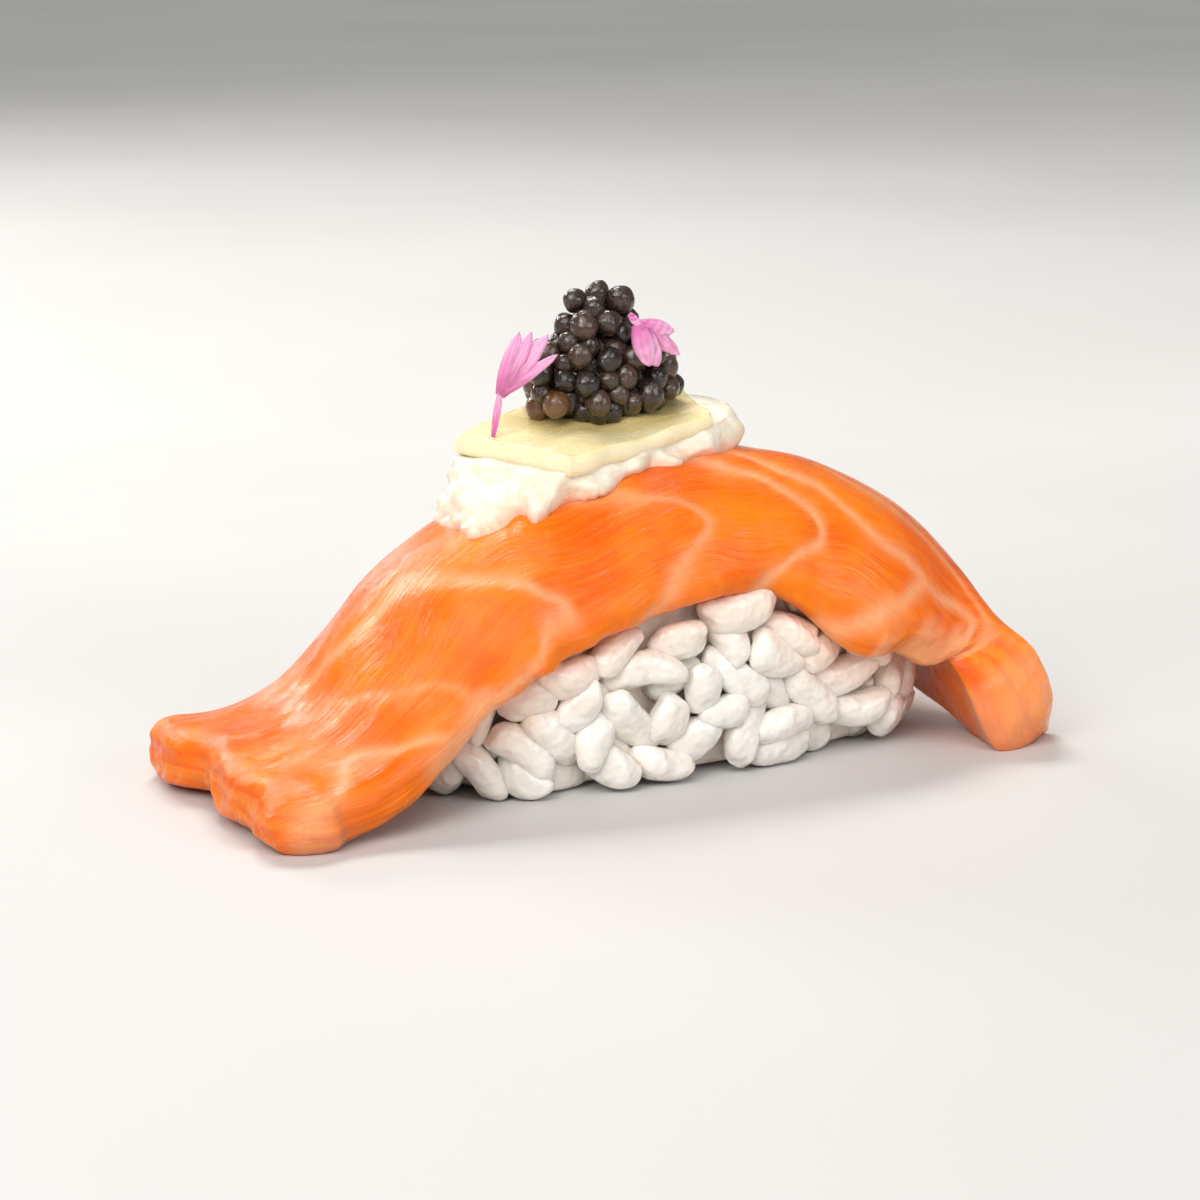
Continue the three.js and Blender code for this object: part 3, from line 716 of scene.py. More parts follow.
riceSettings = {
    "centre": (4, -0.3, 8), "half": (27.2, 12.0), "below": 12, "above": 22, "planPower": 3, "wallPower": 4,
    "grainLength": (5.2, 8.2), "grainWidth": (3.3, 4.4), "grainThick": (2.9, 3.7),
    "layers": [(1.55, 2.05, 12000), (3.4, 2.4, 5000)],   # (depth, spacing of the grains' middles, tries)
    "reachUp": (-0.66, 0.93), "depthJitter": 0.4, "axisJitter": 0.25, "endRadius": 1.8,
    "clearOfSalmon": 1.25, "clearOfTable": 1.45,     # least distance of the balls that stand for a grain
    "taper": 0.55, "squareness": 0.85, "swollen": 1.02, "dents": 0.34, "dentRate": 0.95, "bend": 0.035,
    "endChange": (-0.04, 0.09), "shift": 0.3, "shiftSize": 2.3, "lowest": 0.02,
    "around": 9, "rings": 6, "seed": 5,
    "coreDepth": 3.4, "coreAround": 72, "coreRings": 34,
    "coreWave": 0.35, "coreLowest": 0.6, "coreClear": 0.7,
    "pinkReach": (0.5, 7), "pink": 0.7,              # how far from the salmon its colour reaches, in mm
    "shader": {"Coat Roughness": 0.1, "IOR": 1.4, "Coat IOR": 1.36, "Coat Weight": 0.8,
               "Subsurface Weight": 0.14, "Subsurface Scale": 0.001, "Subsurface Radius": (1.0, 0.86, 0.72)},
    "grainColours": (colour(240, 231, 219), colour(250, 244, 236)), "greyColour": colour(222, 222, 216),
    "pinkColour": colour(246, 204, 176), "speckColour": colour(110, 100, 90),
    "specks": {"Spacing": 6.0, "Radius": 0.16, "Share": 0.1},
    "wet": {"Size": 2.0, "Glossy": 0.12, "Dull": 0.3},
}


# The rice block: x and y are half sizes times the cosine of the tilt and signed powers of cosine and
# sine around, z the signed power of the tilt's sine.
def ricePoints(shape, around, tilt):
    reach = np.cos(tilt) ** (2 / shape["wallPower"])
    power = 2 / shape["planPower"]
    half = np.where(tilt < 0, shape["below"], shape["above"])
    rise = half * signedPower(np.sin(tilt), 2 / shape["wallPower"])
    local = np.stack([shape["half"][0] * reach * signedPower(np.cos(around), power),
                      shape["half"][1] * reach * signedPower(np.sin(around), power), rise], -1)
    return local + np.array(shape["centre"])


# Outward direction of the block: the cross product of its differences around and upwards.
def riceNormals(shape, around, tilt, step=0.01):
    alongTurn = ricePoints(shape, around + step, tilt) - ricePoints(shape, around - step, tilt)
    upTilt = ricePoints(shape, around, tilt + step) - ricePoints(shape, around, tilt - step)
    normal = np.cross(alongTurn, upTilt)
    return normal / (np.linalg.norm(normal, axis=1, keepdims=True) + 1e-12)


# Scatters grains: each try is kept if its three balls stay a spacing away from all balls kept so far.
def scatterGrains(shape):
    random = np.random.default_rng(shape["seed"])
    centres, axes, outs, sizes, balls = [], [], [], [], np.zeros((0, 3))
    for layerDepth, spacing, tries in shape["layers"]:
        around = random.uniform(-np.pi, np.pi, tries)
        rise = random.uniform(*shape["reachUp"], tries)
        tilt = np.arcsin(np.sign(rise) * rise ** 2)
        normal = riceNormals(shape, around, tilt)
        jitter = random.uniform(-shape["depthJitter"], shape["depthJitter"], (tries, 1))
        centre = ricePoints(shape, around, tilt) - normal * (layerDepth + jitter)
        flat = np.cross(normal, random.normal(size=normal.shape))
        axis = flat / np.linalg.norm(flat, axis=1, keepdims=True)
        axis = axis + normal * random.normal(0, shape["axisJitter"], (tries, 1))
        axis /= np.linalg.norm(axis, axis=1, keepdims=True)
        length = random.uniform(*shape["grainLength"], tries)
        width = random.uniform(*shape["grainWidth"], tries)
        thick = random.uniform(*shape["grainThick"], tries)
        reach = axis * (length / 2 - shape["endRadius"])[:, None]
        trio = np.stack([centre - reach, centre, centre + reach], 1)
        under = belowSalmon(trio.reshape(-1, 3))[0].reshape(-1, 3)
        clear = (under > shape["clearOfSalmon"]).all(1) & (trio[..., 2] > shape["clearOfTable"]).all(1)
        for i in np.nonzero(clear)[0]:
            if len(balls) and (((trio[i][:, None] - balls[None]) ** 2).sum(-1) < spacing ** 2).any():
                continue
            balls = np.concatenate([balls, trio[i]])
            centres.append(centre[i])
            axes.append(axis[i])
            outs.append(normal[i])
            sizes.append((length[i], width[i], thick[i]))
    return np.array(centres), np.array(axes), np.array(outs), np.array(sizes)


# One grain each: a rounded bar, its rings carried along the axis, with its own soft dents.
def grainPoints(shape, centres, axes, outs, sizes):
    tilts, turns = lumpAngles(shape["around"], shape["rings"])
    reach, power = np.cos(tilts) ** shape["taper"], shape["squareness"]
    unit = np.stack([signedPower(np.sin(tilts), power), reach * signedPower(np.cos(turns), power),
                     reach * signedPower(np.sin(turns), power)], -1).reshape(-1, 3)
    unit = np.concatenate([[[-1, 0, 0]], unit, [[1, 0, 0]]])
    random = np.random.default_rng(shape["seed"] + 1)
    count = len(centres)
    local = unit[None] * sizes[:, None] / 2
    rates = random.normal(size=(count, 4, 3)) * shape["dentRate"]
    phases = random.uniform(0, 2 * np.pi, (count, 1, 4))
    dents = np.sin(local @ rates.transpose(0, 2, 1) + phases).mean(-1, keepdims=True)
    local = local * (shape["swollen"] + shape["dents"] * dents)
    bend = random.normal(0, shape["bend"], (count, 1))
    local[..., 1] += bend * local[..., 0] ** 2
    local[..., 1:] *= 1 - random.uniform(*shape["endChange"], (count, 1, 1)) * unit[None, :, :1]
    sideways = np.cross(outs, axes)
    sideways /= np.linalg.norm(sideways, axis=1, keepdims=True)
    upwards = np.cross(axes, sideways)
    basis = np.stack([axes, sideways, upwards], 1)
    points = centres[:, None] + local @ basis
    shift = np.stack([waves(points, shape["shiftSize"], shape["seed"] + more) for more in (2, 3, 4)], -1)
    points = points + shape["shift"] * shift
    points[..., 2] = np.maximum(points[..., 2], shape["lowest"])
    return points


# Cooked rice: two near whites in clouds, greyer from grain to grain, pink beside the salmon, a few
# specks, and a wet coat over soft lumps.
def riceMaterial(look):
    material, tree, shader = startMaterial("riceGrain", look["shader"])
    at = placeInMm(tree)
    base = layOver(tree, cloudsOf(tree, at, 2.6, look["grainColours"]), attributeOf(tree, "tone"), 0.5,
                   look["greyColour"])
    base = mixColour(tree, attributeOf(tree, "warm"), base, look["pinkColour"])
    base = speckled(tree, base, at, look["specks"], 0.5, look["speckColour"])
    wetHeight = wetFinish(tree, shader, base, at, look["wet"])
    lumps = bumpFrom(tree, noiseAt(tree, at, 0.75, 1.0), 0.35)
    tree.links.new(bumpFrom(tree, wetHeight, 0.06, under=lumps), shader.inputs["Normal"])
    return material


riceFinish = riceMaterial(riceSettings)
grainCentres, grainAxes, grainOuts, grainSizes = scatterGrains(riceSettings)
grains = grainPoints(riceSettings, grainCentres, grainAxes, grainOuts, grainSizes)
grainRandom = np.random.default_rng(8)
grainTone = np.repeat(grainRandom.uniform(0, 1, len(grains)), grains.shape[1])
flatGrains = grains.reshape(-1, 3)
nearSalmon = 1 - easeBetween(belowSalmon(flatGrains)[1], *riceSettings["pinkReach"])
grainFaces = lumpFaces(riceSettings["around"], riceSettings["rings"])
makePiece("riceGrains", flatGrains + place, repeatedFaces(grainFaces, grains.shape[1], len(grains)),
          "rice", riceFinish, {"tone": grainTone, "warm": riceSettings["pink"] * nearSalmon},
          subdivided=1)
print(len(grains), "grains of rice")


# The core that shows in the gaps: the block's own surface, sunk by the core depth and kept under the
# salmon.
def riceCore(shape):
    around, rings = shape["coreAround"], shape["coreRings"]
    tilts, turns = lumpAngles(around, rings)
    small = dict(shape, half=(shape["half"][0] - shape["coreDepth"], shape["half"][1] - shape["coreDepth"]))
    points = ricePoints(small, turns.ravel(), tilts.ravel())
    foot = np.array([[*shape["centre"][:2], 0]])
    head = np.array([[*shape["centre"][:2], shape["centre"][2] + shape["above"]]])
    points = np.concatenate([foot, points, head])
    points = points + shape["coreWave"] * waves(points, 3, 41)[:, None] * np.array([1, 1, 0])
    nearest = nearestIndex(points[:, :2], underFace[:, :2])
    points[:, 2] = np.clip(points[:, 2], shape["coreLowest"], underFace[nearest, 2] - shape["coreClear"])
    return points, lumpFaces(around, rings)


corePoints, coreFaces = riceCore(riceSettings)
# The core takes a fixed warm tint: painted shade for the gaps between grains.
makePiece("riceCore", corePoints + place, coreFaces, "rice", riceFinish,
          {"tone": np.full(len(corePoints), 0.2), "warm": np.full(len(corePoints), 0.25)})


# The pale slice.

sliceSettings = {
    "leftBack": (-14.1, 5.6, 31.2), "leftFront": (-8, -6.1, 30.6), "rightFront": (9.4, -2.2, 32.4),
    "rightBack": (11.8, 8.8, 33.7), "crownUp": 1.5, "crownOut": 1.8, "thick": (2, 1.4), "sag": 0.35,
    "rim": 0.5, "rimAt": 0.55, "planWave": 0.12, "heightWave": 0.1, "rows": 150, "columns": 90,
    "patternSize": (18, 6.5), "stainAndShadowBeyond": (1.2, 1.4), "stainAndShadowEdge": (0.75, 1.25),
    "shader": {"Coat Roughness": 0.1, "IOR": 1.42, "Coat IOR": 1.36, "Coat Weight": 0.3,
               "Subsurface Weight": 0.3, "Subsurface Scale": 0.0012, "Subsurface Radius": (1.0, 0.8, 0.4)},
    "streaks": {"Length": 14.0, "Width": 0.7, "Wander": 3.0}, "streakColour": colour(228, 208, 146),
    "cloudColours": (colour(238, 222, 166), colour(244, 232, 188)), "rimColour": colour(250, 240, 206),
    "stainAndShadowColour": colour(190, 158, 62), "wet": {"Size": 1.6, "Glossy": 0.1, "Dull": 0.4},
}


# A thin plate between four corners: each point is mixed from them, the back edge crowns as half a
# sine wave, the middle sags, and the rims are quarter circles.
def sliceSheet(shape, along, across, lower):
    names = ("leftBack", "leftFront", "rightFront", "rightBack")
    leftBack, leftFront, rightFront, rightBack = (np.array(shape[name], float) for name in names)
    alongs, acrosses = along[..., None], (across[..., None] + 1) / 2
    points = mixed(mixed(leftFront, rightFront, alongs), mixed(leftBack, rightBack, alongs), acrosses)
    length = np.linalg.norm(rightFront - leftFront)
    depth = np.linalg.norm(leftFront - leftBack)
    fromRim = np.minimum((1 - np.abs(across)) * depth / 2, np.minimum(along, 1 - along) * length)
    thick = mixed(*shape["thick"], along)
    arch = np.sin(np.pi * along) * (across + 1) / 2
    rounding = np.sqrt(1 - (1 - np.clip(fromRim / shape["rim"], 0, 1)) ** 2)
    rim = shape["rimAt"] * thick
    points[..., 1] += shape["crownOut"] * arch
    points[..., 2] += shape["crownUp"] * arch - shape["sag"] * np.sin(np.pi * along)
    plan = points[..., :2] + 0
    points[..., :2] += shape["planWave"] * np.stack([waves(plan, 4, 51), waves(plan, 4, 52)], -1)
    sunk = rim + (thick - rim) * rounding if lower else rim - rim * rounding
    points[..., 2] += shape["heightWave"] * waves(plan, 6, 53) - sunk
    return points


# The pale slice: cream clouds, darker streaks along it, a light rim, a brine stain with painted shadow
# round the roe, and a wet coat over the streaks.
def sliceMaterial(look):
    material, tree, shader = startMaterial("paleSlice", look["shader"])
    at = attributeOf(tree, "slice", "Vector")
    streaks = useGroup(tree, fibres, {"Vector": at, **look["streaks"]})
    base = layOver(tree, cloudsOf(tree, at, 5.0, look["cloudColours"]), streaks["Mask"], 0.3,
                   look["streakColour"])
    base = layOver(tree, base, attributeOf(tree, "rim"), 0.7, look["rimColour"])
    # Olive tint round the roe: a brine stain together with the painted shadow of the heap.
    base = layOver(tree, base, attributeOf(tree, "stainAndShadow"), 0.6, look["stainAndShadowColour"])
    wetHeight = wetFinish(tree, shader, base, at, look["wet"])
    low = bumpFrom(tree, streaks["Height"], 0.12)
    tree.links.new(bumpFrom(tree, wetHeight, 0.05, under=low), shader.inputs["Normal"])
    return material


roeSettings = {
    "centre": (1.2, 4.2, 31.6), "half": (7.7, 4.9), "lean": -0.08, "top": 12.5,
    "profile": [(0, 0.75), (1.2, 0.93), (2.8, 1), (4.4, 0.97), (6, 0.84), (7.6, 0.66), (9, 0.52),
                (10.2, 0.43), (11.4, 0.4), (12.1, 0.3), (12.5, 0.02)],
    "pearl": (2.0, 2.9), "rise": 1.65, "pitch": 2.05, "spacing": 0.8, "around": 12, "rings": 7, "seed": 3,
    "ringsIn": (0.0, 2.0), "ends": 0.9, "pearlReach": 1.15, "turnJitter": 0.22, "heightJitter": 0.75,
    "pushes": 8, "pushShare": 0.3, "standing": 0.85,
    "squash": 0.045, "dents": 0.05, "dentRate": 2, "swollen": 1.03, "shift": 0.09, "shiftSize": 1.9,
    "brineAround": 48, "brineIn": 1.5, "brineLeast": 0.3, "brineTop": 1.6,
    "shader": {"Coat Roughness": 0.06, "IOR": 1.45, "Coat IOR": 1.45, "Coat Weight": 0.8,
               "Subsurface Weight": 0.1, "Subsurface Scale": 0.001, "Subsurface Radius": (1.0, 0.5, 0.25)},
    "darkColours": (colour(26, 19, 15), colour(56, 43, 34)), "brownColour": colour(82, 58, 42),
    "amberColour": colour(122, 80, 40), "wet": {"Size": 0.9, "Glossy": 0.06, "Dull": 0.3},
}

sliceAlong, sliceAcross = np.meshgrid((crowdedSteps(sliceSettings["rows"], 0.25) + 1) / 2,
                                      crowdedSteps(sliceSettings["columns"], 0.2), indexing="ij")
sliceTop = sliceSheet(sliceSettings, sliceAlong, sliceAcross, False)
sliceUnder = sliceSheet(sliceSettings, sliceAlong, sliceAcross, True)
slicePoints = sheetValues(sliceTop, sliceUnder)
slicePattern = np.stack([sliceAlong, sliceAcross], -1) * np.array(sliceSettings["patternSize"])
# How far the brine stain and painted shadow reach round the roe heap.
stainAndShadowHalf = np.array(roeSettings["half"]) + np.array(sliceSettings["stainAndShadowBeyond"])
sliceFromHeap = np.hypot(*((slicePoints[:, :2] - np.array(roeSettings["centre"][:2])) / stainAndShadowHalf).T)
sliceRim = np.maximum(easeBetween(np.abs(sliceAcross), 0.93, 1),
                      easeBetween(np.abs(sliceAlong * 2 - 1), 0.95, 1))
slicePlaces = np.concatenate([sheetValues(slicePattern, slicePattern), slicePoints[:, 2:]], 1)
makePiece("thinSlice", slicePoints + place, sheetFaces(*sliceAlong.shape), "slice",
          sliceMaterial(sliceSettings),
          {"slice": slicePlaces, "stainAndShadow": 1 - easeBetween(sliceFromHeap, *sliceSettings["stainAndShadowEdge"]),
           "rim": sheetValues(sliceRim, sliceRim)})


# The cream.

# Where the cream meets the salmon (x, y) and, in step with it, its upper outline (x, y, z), both going
# round from the left end along the front to the right end and back.
creamSettings = {
    "foot": [(-17.3, 1.2), (-17.4, -1.8), (-16.9, -3.6), (-15.6, -4.3), (-13.7, -5.4), (-11.7, -5.9),
             (-9.7, -5.2), (-7.3, -4.5), (-5.5, -5.1), (-3.4, -5.0), (-1.0, -3.8), (0.5, -3.7), (1.8, -4.2),
             (3.9, -4.6), (6.3, -2.7), (10, -2.6), (13, 0.6), (13.2, 4), (11.6, 7), (6, 8.2), (0, 8),
             (-6, 7.4), (-12, 6.6), (-16, 4.6)],
    "crest": [(-14.2, 4.2, 29.3), (-13.6, 2.6, 29.3), (-12.9, 1, 29.3), (-12, -0.6, 29.2),
              (-11.2, -2.2, 29.1), (-10.2, -3.8, 29), (-8.9, -5.3, 28.9), (-7.2, -5.2, 29.1),
              (-5.2, -5, 29.1), (-3.3, -4.6, 29.4),
              (-1.2, -4.1, 29.7), (0.5, -3.7, 30), (2.2, -3.4, 30.3), (4.2, -3, 30.6), (6.6, -2.4, 31),
              (10.4, -1.6, 31.5), (13.3, 1.8, 32.3), (13.4, 5, 32.6), (12, 8, 32.6), (6, 9, 32.9),
              (0, 8.8, 32.2), (-6, 8.2, 31.4), (-11.4, 6.9, 30), (-13.6, 5.6, 29.4)],
    "stepsPerPoint": 10, "wallRings": 26, "capRings": 14, "firstRing": 0.08,
    "footMiddle": (-2, 1.5, 24.5), "crestMiddle": (-1, 2.5, 30.2),
    "sunk": 0.7, "underSag": 1.2, "poleDown": 1.5,
    "bulge": 0.65, "bulgeLow": 0.75, "lumps": [(0.5, 4.2, 61), (0.12, 1.8, 62)],  # (out, size, seed)
    "ridges": (0.12, 1.3, 63), "ridgeRates": (0.45, 1.1, 1.1), "upShare": 0.35,
    "freeAtFoot": 0.12, "freeOnTop": 0.35, "coverReach": 0.4, "coverUp": 0.5,
    "pink": 0.75, "pinkReach": (0.0, 1.1),
    "shader": {"Coat Roughness": 0.15, "IOR": 1.4, "Coat IOR": 1.35, "Coat Weight": 0.25,
               "Subsurface Weight": 0.35, "Subsurface Scale": 0.0012, "Subsurface Radius": (1.0, 0.75, 0.5)},
    "cloudColours": (colour(236, 225, 200), colour(244, 237, 220)), "pinkColour": colour(240, 176, 140),
    "specks": {"Spacing": 2.6, "Radius": 0.2, "Share": 0.14}, "speckColour": colour(120, 118, 84),
    "wet": {"Size": 1.6, "Glossy": 0.18, "Dull": 0.5},
}


# The cream: rings go from under its middle out to the foot line, up the bulging wall to the crest line
# and in over the top; lumps and brush ridges are waves along the wall's own outward direction.
def creamPoints(shape):
    foot = smoothLine(shape["foot"], shape["stepsPerPoint"], closed=True)
    crest = smoothLine(shape["crest"], shape["stepsPerPoint"], closed=True)
    foot = np.concatenate([foot, salmonTopHeight(foot)[:, None] - shape["sunk"]], 1)
    footMiddle, crestMiddle = np.array(shape["footMiddle"]), np.array(shape["crestMiddle"])
    inwards = np.linspace(shape["firstRing"], 1, shape["capRings"], endpoint=False)[:, None, None]
    under = mixed(footMiddle, foot[None], inwards)
    under[..., 2] -= shape["underSag"] * (1 - inwards[..., 0])
    up = np.linspace(0, 1, shape["wallRings"])[:, None, None]
    wall = mixed(foot[None], crest[None], up)
    out = crest[:, :2] - crestMiddle[:2] + foot[:, :2] - footMiddle[:2]
    out = out / np.linalg.norm(out, axis=1, keepdims=True)
    out = np.concatenate([out, np.zeros((len(out), 1))], 1)
    wall = wall + shape["bulge"] * np.sin(np.pi * up ** shape["bulgeLow"]) * out
    over = mixed(crestMiddle, crest[None], inwards[::-1])
    points = np.concatenate([under, wall, over])
    ridgeHeight, ridgeSize, ridgeSeed = shape["ridges"]
    ridges = np.maximum(waves(points * np.array(shape["ridgeRates"]), ridgeSize, ridgeSeed), 0) * ridgeHeight
    raised = waveLayers(points, shape["lumps"]) + ridges
    wallFree = np.sin(np.pi * mixed(shape["freeAtFoot"], 1, up[:, 0, 0])) ** 0.5
    free = np.concatenate([np.zeros(len(under)), wallFree, np.full(len(over), shape["freeOnTop"])])
    points = points + raised[..., None] * free[:, None, None] * (out + np.array([0, 0, shape["upShare"]]))
    flat = points.reshape(-1, 3)
    beneath = sliceUnder[3:-3:3, 3:-3:3].reshape(-1, 3)
    cover = beneath[nearestIndex(flat[:, :2], beneath[:, :2])]
    covered = np.linalg.norm(flat[:, :2] - cover[:, :2], axis=1) < shape["coverReach"]
    flat[:, 2] = np.where(covered, np.minimum(flat[:, 2], cover[:, 2] + shape["coverUp"]), flat[:, 2])
    flat = np.concatenate([footMiddle[None] - np.array([0, 0, shape["poleDown"]]), flat, crestMiddle[None]])
    return flat, len(foot), len(points)


# The cream: two warm whites in clouds, pink where it touches the salmon, small green-grey specks, and a
# thin coat over soft lumps.
def creamMaterial(look):
    material, tree, shader = startMaterial("cream", look["shader"])
    at = placeInMm(tree)
    base = mixColour(tree, attributeOf(tree, "pink"), cloudsOf(tree, at, 3.0, look["cloudColours"]),
                     look["pinkColour"])
    base = speckled(tree, base, at, look["specks"], 0.6, look["speckColour"])
    wetHeight = wetFinish(tree, shader, base, at, look["wet"])
    low = bumpFrom(tree, noiseAt(tree, at, 0.8, 2.0, 0.5), 0.2)
    tree.links.new(bumpFrom(tree, wetHeight, 0.05, under=low), shader.inputs["Normal"])
    return material


creamShape, creamAround, creamRings = creamPoints(creamSettings)
creamAbove = creamShape[:, 2] - salmonTopHeight(creamShape[:, :2])
creamPink = creamSettings["pink"] * (1 - easeBetween(creamAbove, *creamSettings["pinkReach"]))
makePiece("creamSmear", creamShape + place, lumpFaces(creamAround, creamRings), "cream",
          creamMaterial(creamSettings), {"pink": creamPink})


# The roe.

# Piles pearls in rings, one above the other and one inside the other: each ring follows the heap's
# outline, less a pearl's radius, and pearls that overlap too far are pushed apart.
def pilePearls(shape):
    random = np.random.default_rng(shape["seed"])
    heights, shares = np.array(shape["profile"]).T
    centreX, centreY, centreZ = shape["centre"]
    rings = []
    for deeper in shape["ringsIn"]:
        for height in np.arange(shape["ends"], shape["top"] - shape["ends"], shape["rise"]):
            share = np.interp(height, heights, shares)
            reach = np.maximum(np.array(shape["half"]) * share - shape["pearlReach"] - deeper, 0.05)
            count = max(1, round(2 * math.pi * math.hypot(*reach) / math.sqrt(2) / shape["pitch"]))
            turn = (np.arange(count) + random.uniform(0, 1)) * 2 * np.pi / count
            turn = turn + random.normal(0, shape["turnJitter"], count)
            lifted = height + random.uniform(-shape["heightJitter"], shape["heightJitter"], count)
            rings.append(np.stack([centreX + shape["lean"] * height + reach[0] * np.cos(turn),
                                   centreY + reach[1] * np.sin(turn), centreZ + lifted], -1))
    centres = np.concatenate(rings)
    radii = random.uniform(*shape["pearl"], len(centres)) / 2
    wanted = shape["spacing"] * (radii[:, None] + radii[None])
    itself = np.eye(len(centres)) * 99               # keeps a pearl from pushing itself
    for push in range(shape["pushes"]):
        apart = centres[:, None] - centres[None]
        gap = np.linalg.norm(apart, axis=-1) + itself
        overlap = np.maximum(wanted - gap, 0) / gap
        centres = centres + shape["pushShare"] * (overlap[..., None] * apart).sum(1)
    sliceFlat = sliceTop[::3, ::3].reshape(-1, 3)
    floor = sliceFlat[nearestIndex(centres[:, :2], sliceFlat[:, :2]), 2]
    centres[:, 2] = np.maximum(centres[:, 2], floor + radii * shape["standing"])
    return centres, radii


# One ball each, a little squashed and dented.
def pearlPoints(shape, centres, radii):
    tilts, turns = lumpAngles(shape["around"], shape["rings"])
    ball = np.stack([np.cos(tilts) * np.cos(turns), np.cos(tilts) * np.sin(turns), np.sin(tilts)], -1)
    ball = np.concatenate([[[0, 0, -1]], ball.reshape(-1, 3), [[0, 0, 1]]])
    random = np.random.default_rng(shape["seed"] + 1)
    squash = 1 + random.normal(0, shape["squash"], (len(centres), 1, 3))
    rates = random.normal(size=(len(centres), 3, 3)) * shape["dentRate"]
    dents = np.sin(ball[None] @ rates.transpose(0, 2, 1)).mean(-1, keepdims=True)
    local = ball[None] * squash * (1 + shape["dents"] * dents) * radii[:, None, None] * shape["swollen"]
    points = centres[:, None] + local
    shift = np.stack([waves(points, shape["shiftSize"], seed) for seed in (81, 82, 83)], -1)
    return points + shape["shift"] * shift


# Roe: dark clouds, browner from pearl to pearl and amber in a few, under a bright wet coat.
def roeMaterial(look):
    material, tree, shader = startMaterial("roe", look["shader"])
    at = placeInMm(tree)
    tone = attributeOf(tree, "tone")
    base = mixColour(tree, rangeOf(tree, tone, 0.35, 0.95, 0.0, 0.8),
                     cloudsOf(tree, at, 1.1, look["darkColours"], 0.45), look["brownColour"])
    base = mixColour(tree, rangeOf(tree, tone, 0.93, 1.0, 0.0, 0.7), base, look["amberColour"])
    wetHeight = wetFinish(tree, shader, base, at, look["wet"])
    low = bumpFrom(tree, noiseAt(tree, at, 1.3, 3.0), 0.3)
    tree.links.new(bumpFrom(tree, wetHeight, 0.1, under=low), shader.inputs["Normal"])
    return material


roeFinish = roeMaterial(roeSettings)
pearlCentres, pearlRadii = pilePearls(roeSettings)
pearls = pearlPoints(roeSettings, pearlCentres, pearlRadii)
pearlTone = np.repeat(np.random.default_rng(9).uniform(0, 1, len(pearls)), pearls.shape[1])
pearlFaces = lumpFaces(roeSettings["around"], roeSettings["rings"])
makePiece("roePearls", pearls.reshape(-1, 3) + place,
          repeatedFaces(pearlFaces, pearls.shape[1], len(pearls)), "caviar", roeFinish,
          {"tone": pearlTone}, subdivided=1)
print(len(pearls), "pearls of roe")


# The dark brine between the pearls: the heap's outline, drawn in by about two thirds of a pearl.
def brinePoints(shape):
    around = shape["brineAround"]
    heights, shares = np.array(shape["profile"][:-1]).T
    centreX, centreY, centreZ = shape["centre"]
    turn = 2 * np.pi * np.arange(around) / around
    half = np.array(shape["half"])[None] * shares[:, None] - shape["brineIn"]
    half = np.maximum(half, shape["brineLeast"])
    x = centreX + shape["lean"] * heights[:, None] + half[:, :1] * np.cos(turn)
    y = centreY + half[:, 1:] * np.sin(turn)
    z = np.broadcast_to(centreZ + np.minimum(heights, shape["top"] - shape["brineTop"])[:, None], x.shape)
    rings = np.stack([x, y, z], -1)
    foot = np.array([[centreX, centreY, centreZ - 0.3]])
    return np.concatenate([foot, rings.reshape(-1, 3), rings[-1:].mean(1)]), around, len(heights)


brine, brineAround, brineRings = brinePoints(roeSettings)
makePiece("roeBrine", brine + place, lumpFaces(brineAround, brineRings), "caviar", roeFinish,
          {"tone": np.zeros(len(brine))})


# The florets.

floretSettings = {
    "petal_left": {
        "stem": [(-11.5, 2.4, 31.3), (-11.2, 2.1, 33.2), (-11.0, 2.0, 35.2)],
        "lobes": [((-9.8, 0.3, 41.2), 1.6), ((-8.8, -0.2, 41.2), 1.7), ((-7.3, -0.6, 40.9), 1.8),
                  ((-6.5, -1, 39.1), 1.1)],
        "stemWidth": 0.7, "cup": 0.5},
    "petal_right": {
        "stem": [(1.4, -0.2, 42.2), (1.8, -0.5, 41.6), (2.1, -0.7, 41.2)],
        "lobes": [((2.9, -1.5, 37.3), 2.2), ((3.8, -1.5, 37.2), 2.2), ((5.9, -0.9, 40.3), 1.6),
                  ((6.4, -1, 38.1), 1.6)],
        "stemWidth": 0.8, "cup": 0.5},
}
petalShape = {
    "thick": 0.18, "facing": (-0.45, -0.85, 0.25), "rows": 40, "columns": 15,
    "waist": 0.25, "widening": (0.12, 0.84), "tipLength": 0.12, "curl": 0.7, "wave": 0.07,
    "rim": 0.3, "endRim": 6,
    "shader": {"IOR": 1.4, "Subsurface Weight": 0.3, "Subsurface Scale": 0.0006,
               "Subsurface Radius": (1.0, 0.4, 0.7)},
    "footColour": colour(220, 112, 172), "tipColour": colour(242, 182, 216),
    "veinColour": colour(214, 98, 164),
    "veins": {"Length": 9.0, "Width": 0.5, "Wander": 0.6}, "wet": {"Size": 0.8, "Glossy": 0.35, "Dull": 0.6},
}


